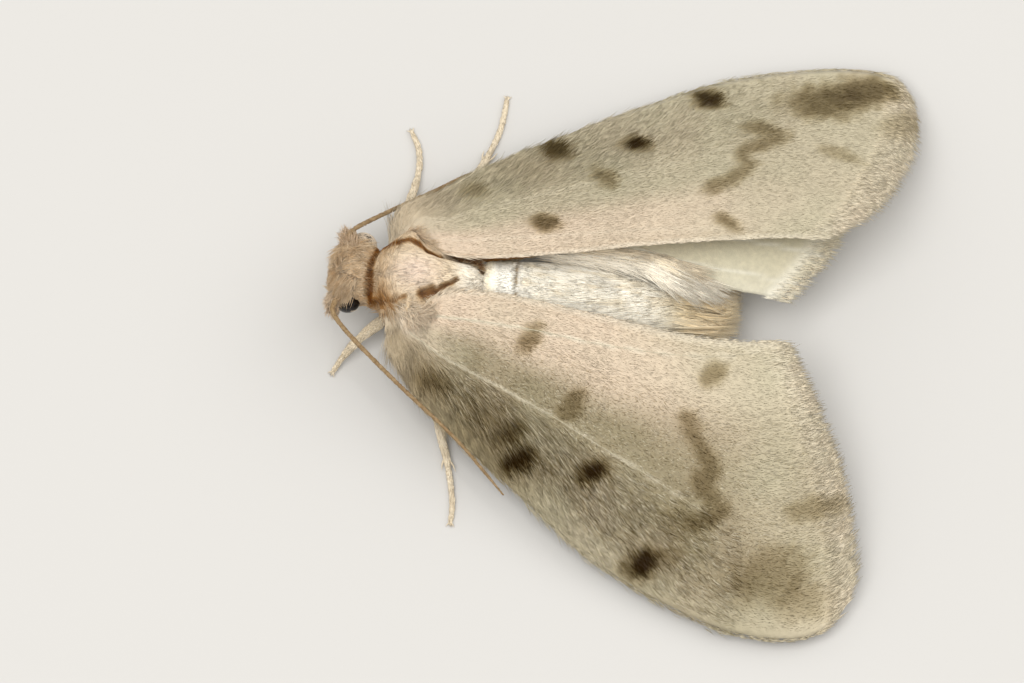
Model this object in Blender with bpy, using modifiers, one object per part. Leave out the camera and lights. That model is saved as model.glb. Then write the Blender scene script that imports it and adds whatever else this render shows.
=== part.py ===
"""A small muslin-winged moth at rest with its wings half spread, life size, as a still display model.

The moth looks towards -Y, its left side is +X and the floor is z = 0. Every length below is in
millimetres and every place is measured from the point on the floor under the wing roots. BOX_CENTRE
then moves the whole model so that its box stands centred on the origin.
"""

import bmesh
import bpy
import numpy as np

MM = 0.001
BOX_CENTRE = (0.43, 3.82)

WING_THICKNESS = 0.5
CELLS_ALONG = 16
CELLS_ACROSS = 10
FOREWING_CAMBER = 0.22
HINDWING_CAMBER = 0.12

LEG_RADIUS = 0.25
ANTENNA_RADIUS = 0.24
PALP_RADIUS = 0.18
LIMB_POINTS = 12
END_TAPER = 0.7
SOLE = 0.22

EYE_RADIUS = 0.27
EYE_SIDE = 0.59
EYE_HEIGHT = 1.47
SOCKET_GAP = 0.04
# The head is turned a little to the moth's right, about this point between its eyes.
HEAD_CENTRE = (-0.27, -1.47)
HEAD_TURN = -10
# The body lies a little to the right of the middle between the wings, the abdomen most of all.
WING_MIDDLE = -0.04
THORAX_MIDDLE = -0.10
ABDOMEN_MIDDLE = -0.17
BODY_SIDES = 18
BODY_RINGS = 12
TUFT_RINGS = 7

CURVE_STEPS = 24
WELD = 0.001
SHARP_ANGLE = 50

# Each station of a body form: place along Y, height of its middle, half width, half height.
HEAD = [
    (-2.12, 1.38, 0.30, 0.20),
    (-2.00, 1.40, 0.52, 0.42),
    (-1.62, 1.42, 0.78, 0.62),
    (-1.34, 1.45, 0.74, 0.60),
    (-1.17, 1.48, 0.60, 0.50),
]
THORAX = [
    (-1.03, 1.60, 0.60, 0.58),
    (-0.82, 1.63, 0.72, 0.76),
    (-0.40, 1.65, 0.74, 0.92),
    (0.00, 1.64, 0.69, 0.88),
    (0.40, 1.58, 0.54, 0.80),
    (0.75, 1.60, 0.45, 0.62),
    (1.00, 1.66, 0.38, 0.46),
]
ABDOMEN = [
    (1.04, 1.44, 0.50, 0.48),
    (1.30, 1.38, 0.57, 0.60),
    (2.30, 1.25, 0.66, 0.63),
    (3.60, 1.08, 0.65, 0.58),
    (4.60, 0.93, 0.59, 0.49),
    (5.00, 0.88, 0.54, 0.42),
]
TAIL_TUFT = [
    (5.04, 0.86, 0.50, 0.38),
    (5.50, 0.80, 0.55, 0.34),
    (6.10, 0.74, 0.54, 0.31),
    (6.37, 0.72, 0.50, 0.27),
]

# A tegula is the flap of scales over a wing root: its middle and half sizes, for the left side.
TEGULA_CENTRE = (0.80, -0.40, 2.25)
TEGULA_HALF = (0.22, 0.52, 0.20)

# A wing is drawn by its edges: the front edge from root to tip, the outer edge from tip to hind corner
# and the inner edge from root to hind corner. A straight root joins their first points.
FOREWING_LEFT = {
    "front": [
        (0.84, -0.80, 1.52), (1.34, -0.67, 1.40), (1.72, -0.39, 1.25), (2.37, 0.11, 1.10),
        (3.84, 1.96, 0.75), (5.24, 3.74, 0.45), (6.24, 5.80, 0.34), (6.52, 7.20, 0.34),
        (6.30, 8.19, 0.36), (5.46, 8.84, 0.46),
    ],
    "outer": [
        (5.46, 8.84, 0.46), (4.79, 8.93, 0.62), (3.18, 8.54, 1.15), (1.85, 7.90, 1.55),
        (0.70, 7.27, 1.80),
    ],
    "inner": [
        (0.84, -0.25, 1.72), (0.66, 0.25, 1.98), (0.40, 0.80, 2.20), (0.33, 1.73, 2.30),
        (0.51, 3.43, 2.28), (0.78, 5.45, 2.10), (0.70, 7.27, 1.80),
    ],
}
FOREWING_RIGHT = {
    "front": [
        (-0.92, -0.84, 1.52), (-1.72, -0.65, 1.50), (-2.09, 0.10, 1.43), (-2.66, 0.87, 1.32),
        (-3.56, 2.43, 1.00), (-4.41, 4.00, 0.67), (-5.21, 5.80, 0.42), (-5.60, 7.80, 0.35),
        (-5.52, 9.02, 0.36), (-4.88, 9.60, 0.50),
    ],
    "outer": [
        (-4.88, 9.60, 0.50), (-4.20, 9.70, 0.76), (-3.42, 9.57, 1.10), (-2.16, 8.93, 1.85),
        (-1.31, 8.02, 2.42),
    ],
    "inner": [
        (-0.92, -0.30, 1.75), (-0.74, 0.25, 2.02), (-0.54, 0.98, 2.28), (-0.65, 2.56, 2.46),
        (-0.87, 4.35, 2.55), (-1.15, 6.53, 2.52), (-1.31, 8.02, 2.42),
    ],
}
HINDWING_LEFT = {
    "front": [
        (0.66, 0.40, 1.22), (1.70, 1.50, 1.00), (2.80, 3.10, 0.74), (3.80, 5.00, 0.54),
        (4.25, 6.80, 0.46),
    ],
    "outer": [
        (4.25, 6.80, 0.46), (3.60, 7.45, 0.66), (2.40, 7.45, 0.96), (1.45, 6.95, 1.10),
        (0.86, 6.20, 1.16),
    ],
    "inner": [
        (0.64, 0.80, 1.22), (0.80, 2.20, 1.22), (0.82, 3.80, 1.26), (0.86, 5.20, 1.22),
        (0.86, 6.20, 1.16),
    ],
}
HINDWING_RIGHT = {
    "front": [
        (-0.74, 0.40, 1.22), (-1.75, 1.60, 1.05), (-2.85, 3.40, 0.78), (-3.75, 5.50, 0.55),
        (-4.05, 7.00, 0.46),
    ],
    "outer": [
        (-4.05, 7.00, 0.46), (-3.30, 7.95, 0.78), (-2.30, 8.25, 1.16), (-1.40, 8.10, 1.42),
        (-0.29, 7.22, 1.25),
    ],
    "inner": [
        (-0.72, 0.80, 1.22), (-0.90, 2.20, 1.32), (-0.84, 3.78, 1.52), (-0.50, 5.00, 1.58),
        (-0.29, 7.22, 1.25),
    ],
}

# Middle lines of the limbs, from the body outwards.
LEGS = {
    "leg_front_left": [
        (0.40, -0.88, 0.58), (0.72, -1.30, 0.52), (1.06, -1.62, 0.30), (1.40, -1.85, SOLE),
    ],
    "leg_front_right": [
        (-0.48, -0.80, 0.60), (-1.20, -0.74, 0.58), (-2.11, -0.54, 0.42), (-2.86, -0.38, 0.25),
        (-3.43, -0.39, SOLE), (-3.89, -0.60, SOLE),
    ],
    "leg_middle_left": [
        (0.48, 0.02, 0.60), (1.40, 0.15, 0.54), (2.52, 0.39, 0.32), (3.11, 0.57, 0.23),
        (3.91, 0.72, SOLE), (4.43, 0.71, SOLE),
    ],
    "leg_middle_right": [
        (-0.56, 0.06, 0.60), (-1.60, 0.35, 0.48), (-2.60, 0.64, 0.25), (-3.25, 0.95, 0.23),
        (-3.96, 1.22, SOLE), (-4.72, 1.33, SOLE),
    ],
    "leg_hind_left": [
        (0.36, 0.72, 0.44), (1.50, 2.20, 0.46), (2.20, 3.80, 0.30), (2.50, 5.10, SOLE),
        (2.60, 6.30, SOLE),
    ],
    "leg_hind_right": [
        (-0.44, 0.72, 0.44), (-1.55, 2.30, 0.48), (-2.20, 4.00, 0.30), (-2.50, 5.40, SOLE),
        (-2.65, 6.60, SOLE),
    ],
}
ANTENNAE = {
    "antenna_left": [
        (0.72, -1.90, 1.74), (1.20, -1.47, 1.85), (2.13, -0.45, 1.78), (2.83, 0.41, 1.64),
        (3.31, 0.96, 1.50), (4.09, 1.77, 1.12),
    ],
    "antenna_right": [
        (-1.06, -1.60, 1.84), (-1.50, -1.07, 1.50), (-1.86, -0.64, 1.17), (-2.30, 0.00, 0.92),
        (-2.76, 0.72, 0.76), (-3.00, 1.60, 0.62), (-3.04, 2.30, 0.50),
    ],
}
# The palps are the two feelers under the face. Their places across are from the head's centre line.
PALP = [(0.24, -1.50, 0.56), (0.24, -1.80, 0.62), (0.22, -2.04, 0.74)]

parts = bpy.data.collections.new("moth")
cutters = bpy.data.collections.new("cutters")


def clear_scene():
    for thing in list(bpy.data.objects):
        bpy.data.objects.remove(thing, do_unlink=True)
    for collection in (parts, cutters):
        bpy.context.scene.collection.children.link(collection)


def finish(name, colour, roughness):
    """A Principled material of one colour."""
    material = bpy.data.materials.new(name)
    material.use_nodes = True
    shader = material.node_tree.nodes["Principled BSDF"]
    shader.inputs["Base Color"].default_value = (*colour, 1.0)
    shader.inputs["Roughness"].default_value = roughness
    return material


def add(name, form, material, collection=parts):
    """An object of this bmesh, brought from millimetres under the wing roots to the model's metres."""
    bmesh.ops.recalc_face_normals(form, faces=form.faces)
    for vertex in form.verts:
        x, y, z = vertex.co
        vertex.co = ((x - BOX_CENTRE[0]) * MM, (y - BOX_CENTRE[1]) * MM, z * MM)
    mesh = bpy.data.meshes.new(name)
    form.to_mesh(mesh)
    form.free()
    mesh.shade_smooth()
    mesh.set_sharp_from_angle(angle=np.radians(SHARP_ANGLE))
    mesh.materials.append(material)
    thing = bpy.data.objects.new(name, mesh)
    collection.objects.link(thing)
    return thing


def smooth_path(points, count):
    """A Catmull-Rom curve through the points, read at count places evenly spaced along its length."""
    points = np.array(points, float)
    ends = np.vstack([2 * points[0] - points[1], points, 2 * points[-1] - points[-2]])
    t = np.linspace(0, 1, CURVE_STEPS, endpoint=False)[:, None]
    fine = []
    for a, b, c, d in zip(ends, ends[1:], ends[2:], ends[3:]):
        bend = 2 * a - 5 * b + 4 * c - d + t * (3 * (b - c) + d - a)
        fine.append(b + 0.5 * t * (c - a + t * bend))
    fine = np.vstack([*fine, points[-1:]])
    along = np.append(0, np.cumsum(np.linalg.norm(np.diff(fine, axis=0), axis=1)))
    wanted = np.linspace(0, along[-1], count)
    return np.stack([np.interp(wanted, along, column) for column in fine.T], axis=1)


def as_head_turned(point):
    """A place given square to the body, turned with the head."""
    x, y = point[0] - HEAD_CENTRE[0], point[1] - HEAD_CENTRE[1]
    cos, sin = np.cos(np.radians(HEAD_TURN)), np.sin(np.radians(HEAD_TURN))
    return (HEAD_CENTRE[0] + x * cos - y * sin, HEAD_CENTRE[1] + x * sin + y * cos, point[2])


def body_form(name, stations, middle, material, rings=BODY_RINGS, place=tuple):
    """A closed form along Y, whose oval sections run smoothly through the stations."""
    turns = np.linspace(0, 2 * np.pi, BODY_SIDES, endpoint=False)
    form = bmesh.new()
    loops = []
    for y, z, half_width, half_height in smooth_path(stations, rings):
        across = middle + half_width * np.cos(turns)
        up = z + half_height * np.sin(turns)
        corners = zip(across, [y] * BODY_SIDES, up)
        loops.append([form.verts.new(place(corner)) for corner in corners])
    for near, far in zip(loops, loops[1:]):
        for i in range(BODY_SIDES):
            form.faces.new((near[i - 1], near[i], far[i], far[i - 1]))
    form.faces.new(loops[0])
    form.faces.new(loops[-1])
    return add(name, form, material)


def oval(name, centre, half, material, collection=parts):
    """An ellipsoid from a sphere primitive."""
    form = bmesh.new()
    bmesh.ops.create_uvsphere(form, u_segments=16, v_segments=10, radius=1)
    for vertex in form.verts:
        vertex.co = [middle + size * value for middle, size, value in zip(centre, half, vertex.co)]
    return add(name, form, material, collection)


def wing(name, edges, camber, material):
    """A blade filled smoothly between its edges, arched by camber in the middle and made thick."""
    front = smooth_path(edges["front"], CELLS_ALONG + 1)
    inner = smooth_path(edges["inner"], CELLS_ALONG + 1)
    outer = smooth_path(edges["outer"], CELLS_ACROSS + 1)
    form = bmesh.new()
    bmesh.ops.create_grid(form, x_segments=CELLS_ALONG, y_segments=CELLS_ACROSS, size=1)
    for vertex in form.verts:
        u, v = (vertex.co.x + 1) / 2, (vertex.co.y + 1) / 2
        i, j = round(u * CELLS_ALONG), round(v * CELLS_ACROSS)
        root = front[0] * (1 - v) + inner[0] * v
        tip = front[-1] * (1 - v) + inner[-1] * v
        point = front[i] * (1 - v) + inner[i] * v + (outer[j] - tip) * u
        point[2] += camber * 4 * v * (1 - v) * np.sqrt(4 * u * abs(1 - u))
        vertex.co = point
    thing = add(name, form, material)
    solid = thing.modifiers.new("thickness", "SOLIDIFY")
    solid.thickness = WING_THICKNESS * MM
    solid.offset = 0
    solid.use_even_offset = True
    return thing


def limb(name, points, radius, material):
    """A round tube along the points, cut flat where its underside would reach below the floor."""
    curve = bpy.data.curves.new(name, "CURVE")
    curve.dimensions = "3D"
    curve.bevel_depth = radius
    curve.bevel_resolution = 2
    curve.use_fill_caps = True
    spline = curve.splines.new("POLY")
    spline.points.add(LIMB_POINTS - 1)
    for point, middle in zip(spline.points, smooth_path(points, LIMB_POINTS)):
        point.co = (*middle, 1)
    spline.points[0].radius = spline.points[-1].radius = END_TAPER
    line = bpy.data.objects.new(name + "_line", curve)
    cutters.objects.link(line)
    drawn = line.evaluated_get(bpy.context.evaluated_depsgraph_get())
    form = bmesh.new()
    form.from_mesh(drawn.to_mesh())
    bpy.data.objects.remove(line)
    bmesh.ops.remove_doubles(form, verts=form.verts, dist=WELD)
    cut = bmesh.ops.bisect_plane(
        form,
        geom=form.verts[:] + form.edges[:] + form.faces[:],
        plane_co=(0, 0, 0),
        plane_no=(0, 0, 1),
        clear_inner=True,
    )
    rim = [edge for edge in cut["geom_cut"] if isinstance(edge, bmesh.types.BMEdge)]
    bmesh.ops.holes_fill(form, edges=rim)
    return add(name, form, material)


def mirrored(centre, middle):
    """The same place on the other side of the plane x = middle."""
    return (2 * middle - centre[0], *centre[1:])


def head_with_eyes(fur, eye):
    """The head, with a socket cut round each eye so that the eye sits in it and touches nothing."""
    head = body_form("head", HEAD, HEAD_CENTRE[0], fur, place=as_head_turned)
    for name, side in (("eye_left", EYE_SIDE), ("eye_right", -EYE_SIDE)):
        centre = as_head_turned((HEAD_CENTRE[0] + side, HEAD_CENTRE[1], EYE_HEIGHT))
        oval(name, centre, [EYE_RADIUS] * 3, eye)
        socket = oval(name + "_socket", centre, [EYE_RADIUS + SOCKET_GAP] * 3, eye, cutters)
        socket.hide_render = True
        socket.display_type = "WIRE"
        cut = head.modifiers.new(name, "BOOLEAN")
        cut.operation = "DIFFERENCE"
        cut.object = socket


def main():
    clear_scene()
    fur = finish("body fur", (0.62, 0.47, 0.36), 0.9)
    tail_fur = finish("tail fur", (0.47, 0.33, 0.22), 0.9)
    scales = finish("wing scales", (0.66, 0.55, 0.44), 0.8)
    pale_scales = finish("hindwing scales", (0.76, 0.70, 0.60), 0.8)
    skin = finish("leg scales", (0.72, 0.60, 0.46), 0.7)
    horn = finish("antenna", (0.45, 0.31, 0.20), 0.7)
    eye = finish("eye", (0.01, 0.008, 0.006), 0.15)

    head_with_eyes(fur, eye)
    body_form("thorax", THORAX, THORAX_MIDDLE, fur)
    body_form("abdomen", ABDOMEN, ABDOMEN_MIDDLE, fur)
    body_form("tail_tuft", TAIL_TUFT, ABDOMEN_MIDDLE, tail_fur, rings=TUFT_RINGS)
    oval("tegula_left", TEGULA_CENTRE, TEGULA_HALF, fur)
    oval("tegula_right", mirrored(TEGULA_CENTRE, WING_MIDDLE), TEGULA_HALF, fur)

    wing("forewing_left", FOREWING_LEFT, FOREWING_CAMBER, scales)
    wing("forewing_right", FOREWING_RIGHT, FOREWING_CAMBER, scales)
    wing("hindwing_left", HINDWING_LEFT, HINDWING_CAMBER, pale_scales)
    wing("hindwing_right", HINDWING_RIGHT, HINDWING_CAMBER, pale_scales)

    for name, points in LEGS.items():
        limb(name, points, LEG_RADIUS, skin)
    for name, points in ANTENNAE.items():
        limb(name, points, ANTENNA_RADIUS, horn)
    for name, side in (("palp_left", 1), ("palp_right", -1)):
        places = [as_head_turned((HEAD_CENTRE[0] + side * x, y, z)) for x, y, z in PALP]
        limb(name, places, PALP_RADIUS, skin)


main()
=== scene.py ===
import bpy
import numpy as np
from mathutils import Matrix, Vector


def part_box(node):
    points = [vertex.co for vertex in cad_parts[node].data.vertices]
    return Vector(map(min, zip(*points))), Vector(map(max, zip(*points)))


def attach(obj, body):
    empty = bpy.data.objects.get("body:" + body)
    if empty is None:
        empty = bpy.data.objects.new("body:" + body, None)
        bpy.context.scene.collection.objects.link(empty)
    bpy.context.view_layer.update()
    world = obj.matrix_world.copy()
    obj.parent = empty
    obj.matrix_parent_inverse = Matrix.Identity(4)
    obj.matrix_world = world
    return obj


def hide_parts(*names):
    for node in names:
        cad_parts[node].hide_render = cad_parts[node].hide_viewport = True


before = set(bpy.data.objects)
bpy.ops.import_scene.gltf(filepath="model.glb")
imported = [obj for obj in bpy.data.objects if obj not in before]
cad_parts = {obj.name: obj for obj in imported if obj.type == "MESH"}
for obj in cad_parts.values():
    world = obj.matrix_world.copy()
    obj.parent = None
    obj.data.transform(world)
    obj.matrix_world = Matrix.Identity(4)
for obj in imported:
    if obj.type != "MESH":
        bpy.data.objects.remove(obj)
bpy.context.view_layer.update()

# Lengths are in millimetres from the point on the floor under the wing roots, as in the part.
mm = 0.001
boxCentre = np.array([0.43, 3.82, 0.0])
floorSoft = 0.04  # hairs closer to the floor than this are pressed flat on it
patchSize = 0.003  # side of each tuft's own patch of the OFBake map


def unit(vectors):
    # each vector over its own length
    return vectors / np.maximum(np.linalg.norm(vectors, axis=-1, keepdims=True), 1e-9)


def dot(a, b):
    # sum of the products, kept as a column
    return (a * b).sum(axis=-1, keepdims=True)


def ramp(value, low, high):
    # 0 below low, 1 above high, and 3t^2 - 2t^3 between
    t = np.clip((value - low) / (high - low), 0, 1)
    return t * t * (3 - 2 * t)


def bell(value, middle, half):
    # e to the minus squared distance from the middle, in halves
    return np.exp(-(((value - middle) / half) ** 2))


def drift(x, y, size, seed):
    # smooth random field from -1 to 1: random heights on a square lattice, blended between corners
    cells = 64
    lattice = np.random.default_rng(seed).uniform(-1, 1, (cells, cells))
    x, y = np.asarray(x) / size, np.asarray(y) / size
    i, j = np.floor(x).astype(int), np.floor(y).astype(int)
    fx, fy = ramp(x - i, 0, 1), ramp(y - j, 0, 1)
    near, far = (lattice[i % cells, row % cells] * (1 - fx)
                 + lattice[(i + 1) % cells, row % cells] * fx for row in (j, j + 1))
    return near * (1 - fy) + far * fy


def finePath(points, steps=24):
    # Catmull-Rom curve: each stretch is a cubic blend of the four points round it
    points = np.array(points, float)
    ends = np.vstack([2 * points[0] - points[1], points, 2 * points[-1] - points[-2]])
    t = np.linspace(0, 1, steps, endpoint=False)[:, None]
    fine = []
    for a, b, c, d in zip(ends, ends[1:], ends[2:], ends[3:]):
        bend = 2 * a - 5 * b + 4 * c - d + t * (3 * (b - c) + d - a)
        fine.append(b + 0.5 * t * (c - a + t * bend))
    fine = np.vstack([*fine, points[-1:]])
    along = np.append(0, np.cumsum(np.linalg.norm(np.diff(fine, axis=0), axis=1)))
    return along / along[-1], fine


def pathAt(path, t):
    # the curve read at fractions t of its length, carried straight on beyond its ends
    along, fine = path
    t = np.asarray(t, float)
    held = np.clip(t, 0, 1)
    place = np.stack([np.interp(held, along, column) for column in fine.T], axis=-1)
    start = (fine[1] - fine[0]) / (along[1] - along[0])
    end = (fine[-1] - fine[-2]) / (along[-1] - along[-2])
    return place + np.minimum(t, 0)[..., None] * start + np.maximum(t - 1, 0)[..., None] * end


def nearest(place, line):
    # smallest distance from each place to the straight stretches of a line
    best = np.full(place.shape[:-1], 1e9)
    for start, end in zip(line, line[1:]):
        along = end - start
        t = np.clip(((place - start) @ along) / (along @ along), 0, 1)
        best = np.minimum(best, np.linalg.norm(place - start - t[..., None] * along, axis=-1))
    return best


def slopes(surface, s, a, step=0.002):
    # how the place changes with each parameter, by small differences
    return ((surface(s + step, a) - surface(s - step, a)) / (2 * step),
            (surface(s, a + step) - surface(s, a - step)) / (2 * step))


def frameOf(surface, s, a, turn):
    # point, both slopes, outward unit normal and area
    slopeS, slopeA = slopes(surface, s, a)
    normal = turn * np.cross(slopeS, slopeA)
    return surface(s, a), slopeS, slopeA, unit(normal), np.linalg.norm(normal, axis=-1)


def asMarks(dark, thin, warm, pale):
    # the four shares of a marking side by side, held to 0 to 1
    return np.clip(np.stack(np.broadcast_arrays(dark, thin, warm, pale), axis=-1), 0, 1)


# ---- mesh pieces

def addPiece(name, points, faces, material, slot, marks=None, hair=None, patch=None, stands=(),
             smooth=True):
    # the points moved from millimetres to the model's frame, with faces as a list of arrays of
    # corner numbers; below floorSoft the height shrinks as e to the height, and stays above 0
    points = points.copy()
    low = points[:, 2] < floorSoft
    points[low, 2] = floorSoft * np.exp(points[low, 2] / floorSoft - 1)
    mesh = bpy.data.meshes.new(name)
    mesh.vertices.add(len(points))
    mesh.vertices.foreach_set("co", ((points - boxCentre) * mm).astype(np.float32).ravel())
    corners = np.concatenate([part.ravel() for part in faces])
    counts = np.concatenate([np.full(len(part), part.shape[1]) for part in faces])
    mesh.loops.add(len(corners))
    mesh.loops.foreach_set("vertex_index", corners.astype(np.int32))
    mesh.polygons.add(len(counts))
    mesh.polygons.foreach_set("loop_start", (np.cumsum(counts) - counts).astype(np.int32))
    mesh.update(calc_edges=True)
    if smooth:
        mesh.shade_smooth()
    for title, values in (("marks", marks), ("hair", hair)):
        if values is not None:
            layer = mesh.attributes.new(title, "FLOAT_COLOR", "POINT")
            layer.data.foreach_set("color", values.astype(np.float32).ravel())
    if patch is not None:
        layer = mesh.uv_layers.new(name="OFBake")
        layer.data.foreach_set("uv", patch[corners].astype(np.float32).ravel())
    mesh.materials.append(material)
    piece = bpy.data.objects.new(name, mesh)
    bpy.context.scene.collection.objects.link(piece)
    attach(piece, "root")
    if stands:
        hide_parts(*stands)
    return piece


def gridQuads(rows, columns, ring=False):
    # quads between neighbouring rows; a ring also joins the last column to the first
    i, j = np.meshgrid(np.arange(rows - 1), np.arange(columns - (not ring)), indexing="ij")
    i, j = i.ravel(), j.ravel()
    k = (j + 1) % columns
    return np.stack([i * columns + j, (i + 1) * columns + j, (i + 1) * columns + k,
                     i * columns + k], axis=1)


def tubeMesh(rings):
    # rings of points joined by quads, closed at both ends by a fan to the ring's middle
    rows, columns, _ = rings.shape
    points = np.vstack([rings.reshape(-1, 3), rings[0].mean(0), rings[-1].mean(0)])
    j = np.arange(columns)
    k = (j + 1) % columns
    first, last = np.full(columns, rows * columns), np.full(columns, rows * columns + 1)
    top = (rows - 1) * columns
    fans = np.vstack([np.stack([first, j, k], 1), np.stack([last, top + k, top + j], 1)])
    return points, [gridQuads(rows, columns, ring=True), fans]


def pathTube(path, sizes, rows, columns, rings=0, bulge=0.0):
    # a circle carried along a curve, its radius read from (place, radius) pairs, with a bulge at
    # each ring; gives the surface as a function of place along and share of a turn, and its mesh
    places, radii = zip(*sizes)

    def surface(s, a):
        s, a = np.broadcast_arrays(np.asarray(s, float), np.asarray(a, float))
        along = unit(pathAt(path, s + 0.01) - pathAt(path, s - 0.01))
        sideways = unit(np.cross(along, np.array([0, 0, 1.0])))
        upwards = np.cross(sideways, along)
        radius = np.interp(s, places, radii)
        if rings:
            radius = radius * (1 + bulge * (np.abs((s * rings) % 1 - 0.5) * 2 - 0.5))
        turn = 2 * np.pi * a
        return (pathAt(path, s) + (radius * np.cos(turn))[..., None] * sideways
                + (radius * np.sin(turn))[..., None] * upwards)

    s, a = np.meshgrid(np.linspace(0, 1, rows), np.arange(columns) / columns, indexing="ij")
    return surface, tubeMesh(surface(s, a))


def joined(parts):
    # several meshes put in one, each one's corner numbers moved on by the points before it
    points, quads, tris, start = [], [], [], 0
    for somePoints, someFaces in parts:
        points.append(somePoints)
        for some in someFaces:
            (quads if some.shape[1] == 4 else tris).append(some + start)
        start += len(somePoints)
    return np.vstack(points), [np.vstack(kind) for kind in (quads, tris) if kind]


def shellMesh(middle, normal, half, turn):
    # a sheet: the middle surface moved out by half its thickness both ways, with a rim round it
    rows, columns, _ = middle.shape
    points = np.vstack([(middle + normal * half).reshape(-1, 3),
                        (middle - normal * half).reshape(-1, 3)])
    count = rows * columns
    top = gridQuads(rows, columns)
    index = np.arange(count).reshape(rows, columns)
    border = np.concatenate([index[:-1, 0], index[-1, :-1], index[:0:-1, -1], index[0, :0:-1]])
    after = np.roll(border, -1)
    rim = np.stack([after, border, border + count, after + count], axis=1)
    quads = np.vstack([top, top[:, ::-1] + count, rim])
    return points, quads[:, ::turn]


# what a coat's hairs have unless its own settings say otherwise: shares of a turn, hairs in a
# tuft, rings of corners in a hair, the tuft's radius and how far it draws together, shares of the
# length, depth of the root, how far the arch comes down again, height over the surface, flatness,
# share of darker and paler hairs, and how far hairs swing sideways and stray from the aim
plainHair = {
    "a": (0.0, 1.0), "tuft": 1, "rings": 1, "radius": 0.0, "gather": 0.0, "even": (0.7, 1.2),
    "sink": 0.01, "curl": 0.6, "stand": 0.0, "flat": 0.5, "fleck": 0.0, "swing": 0.1, "stray": 0.2,
    "straight": False, "fine": False, "smooth": True, "dense": None, "size": None, "loose": None,
}


def growHairs(surface, turn, s, a, aim, length, loose, rng, settings):
    # each hair steps over the surface along its aim, arched off it by lift, less where the coat
    # isn't loose, and swung sideways, in tufts whose hairs start round one root and draw together
    tuft, rings = settings["tuft"], settings["rings"]
    root, slopeS, slopeA, normal, _ = frameOf(surface, s, a, turn)
    aim = unit(aim - normal * dot(aim, normal))
    side = np.cross(aim, normal)
    ss, sa, aa = dot(slopeS, slopeS), dot(slopeS, slopeA), dot(slopeA, slopeA)
    det = np.maximum(ss * aa - sa * sa, 1e-9)

    def steps(direction):
        # how s and a change for one millimetre along the direction
        ps, pa = dot(direction, slopeS), dot(direction, slopeA)
        return (ps * aa - pa * sa) / det, (pa * ss - ps * sa) / det

    alongS, alongA = steps(aim)
    sideS, sideA = steps(side)
    many = len(s) * tuft
    shape = lambda low, high: rng.uniform(low, high, (len(s), tuft))
    off = rng.normal(0, settings["radius"], (len(s), tuft, 2))
    swing = rng.normal(0, settings["swing"], (len(s), 1)) + rng.normal(
        0, 0.5 * settings["swing"], (len(s), tuft))
    lift = shape(*settings["lift"]) * np.clip(loose, 0, 2.5)[:, None]
    long = length[:, None] * shape(*settings["even"])
    thick = settings["width"] * shape(0.75, 1.25)
    # places along the hair: the root, its rings and the tip
    stops = np.array([0, 0.42, 1]) if rings == 1 else np.linspace(0, 1, rings + 2)
    line = []
    for q in stops:
        across = off[..., 0] * (1 - settings["gather"] * q) + long * swing * q * q
        forward = long * q + off[..., 1] * (1 - 0.4 * q)
        if settings["straight"]:
            place = (root[:, None] + aim[:, None] * forward[..., None]
                     + side[:, None] * across[..., None])
        else:
            place = surface(s[:, None] + alongS * forward + sideS * across,
                            a[:, None] + alongA * forward + sideA * across)
        height = long * lift * (q - settings["curl"] * q * q)
        height = height - settings["sink"] * (1 - q) + settings["stand"]
        line.append(place + normal[:, None] * height[..., None])
    line = np.stack(line, axis=2).reshape(many, len(stops), 3)
    spread = lambda values: np.repeat(values, tuft, axis=0)
    sideways, upwards, thick = spread(side), spread(normal), thick.reshape(-1)
    # rings of three corners, widest a little before the middle
    swell = np.interp(stops[1:-1], [0, 0.35, 1], [0.7, 1, 0.15] if rings > 1 else [1, 1, 1])
    corner = np.array([(0.5, -0.3), (-0.5, -0.3), (0.0, 0.7)]) * (1, settings["flat"])
    size = thick[:, None, None] * swell[:, None]
    ringPoints = (line[:, 1:-1, None]
                  + sideways[:, None, None] * (size * corner[:, 0])[..., None]
                  + upwards[:, None, None] * (size * corner[:, 1])[..., None])
    points = np.concatenate([line[:, :1], ringPoints.reshape(many, -1, 3), line[:, -1:]], axis=1)
    each = points.shape[1]
    # corner numbers of one hair: a fan at the root, bands between rings, a fan at the tip
    ring = 1 + 3 * np.arange(rings)[:, None] + np.arange(3)
    after = 1 + 3 * np.arange(rings)[:, None] + (np.arange(3) + 1) % 3
    one = [np.stack([np.zeros(3, int), after[0], ring[0]], 1),
           np.stack([np.full(3, each - 1), ring[-1], after[-1]], 1)]
    for i in range(rings - 1):
        one += [np.stack([ring[i], after[i], after[i + 1]], 1),
                np.stack([ring[i], after[i + 1], ring[i + 1]], 1)]
    faces = (np.vstack(one)[None] + each * np.arange(many)[:, None, None]).reshape(-1, 3)
    # every hair has its own strip of the tuft's patch
    q = np.concatenate([[0], np.repeat(stops[1:-1], 3), [1]])
    wide = np.concatenate([[0], np.tile([0.45, -0.45, 0.0], rings), [0]])
    strip = (np.tile(np.arange(tuft), len(s)) + 0.5) / tuft - 0.5
    patch = np.stack(np.broadcast_arrays(strip[:, None] + wide / tuft, q - 0.5), -1)
    chance = 0.5 * spread(rng.uniform(0, 1, len(s))) + 0.5 * rng.uniform(0, 1, many)
    hair = np.stack(np.broadcast_arrays(chance[:, None], q, rng.uniform(0, 1, (many, 1)), 1.0), -1)
    half = 0.45 * long + off[..., 1]
    middle = (s[:, None] + alongS * half + sideS * off[..., 0],
              a[:, None] + alongA * half + sideA * off[..., 0])
    return points.reshape(-1, 3), faces, patch, hair.reshape(-1, 4), middle


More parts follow.
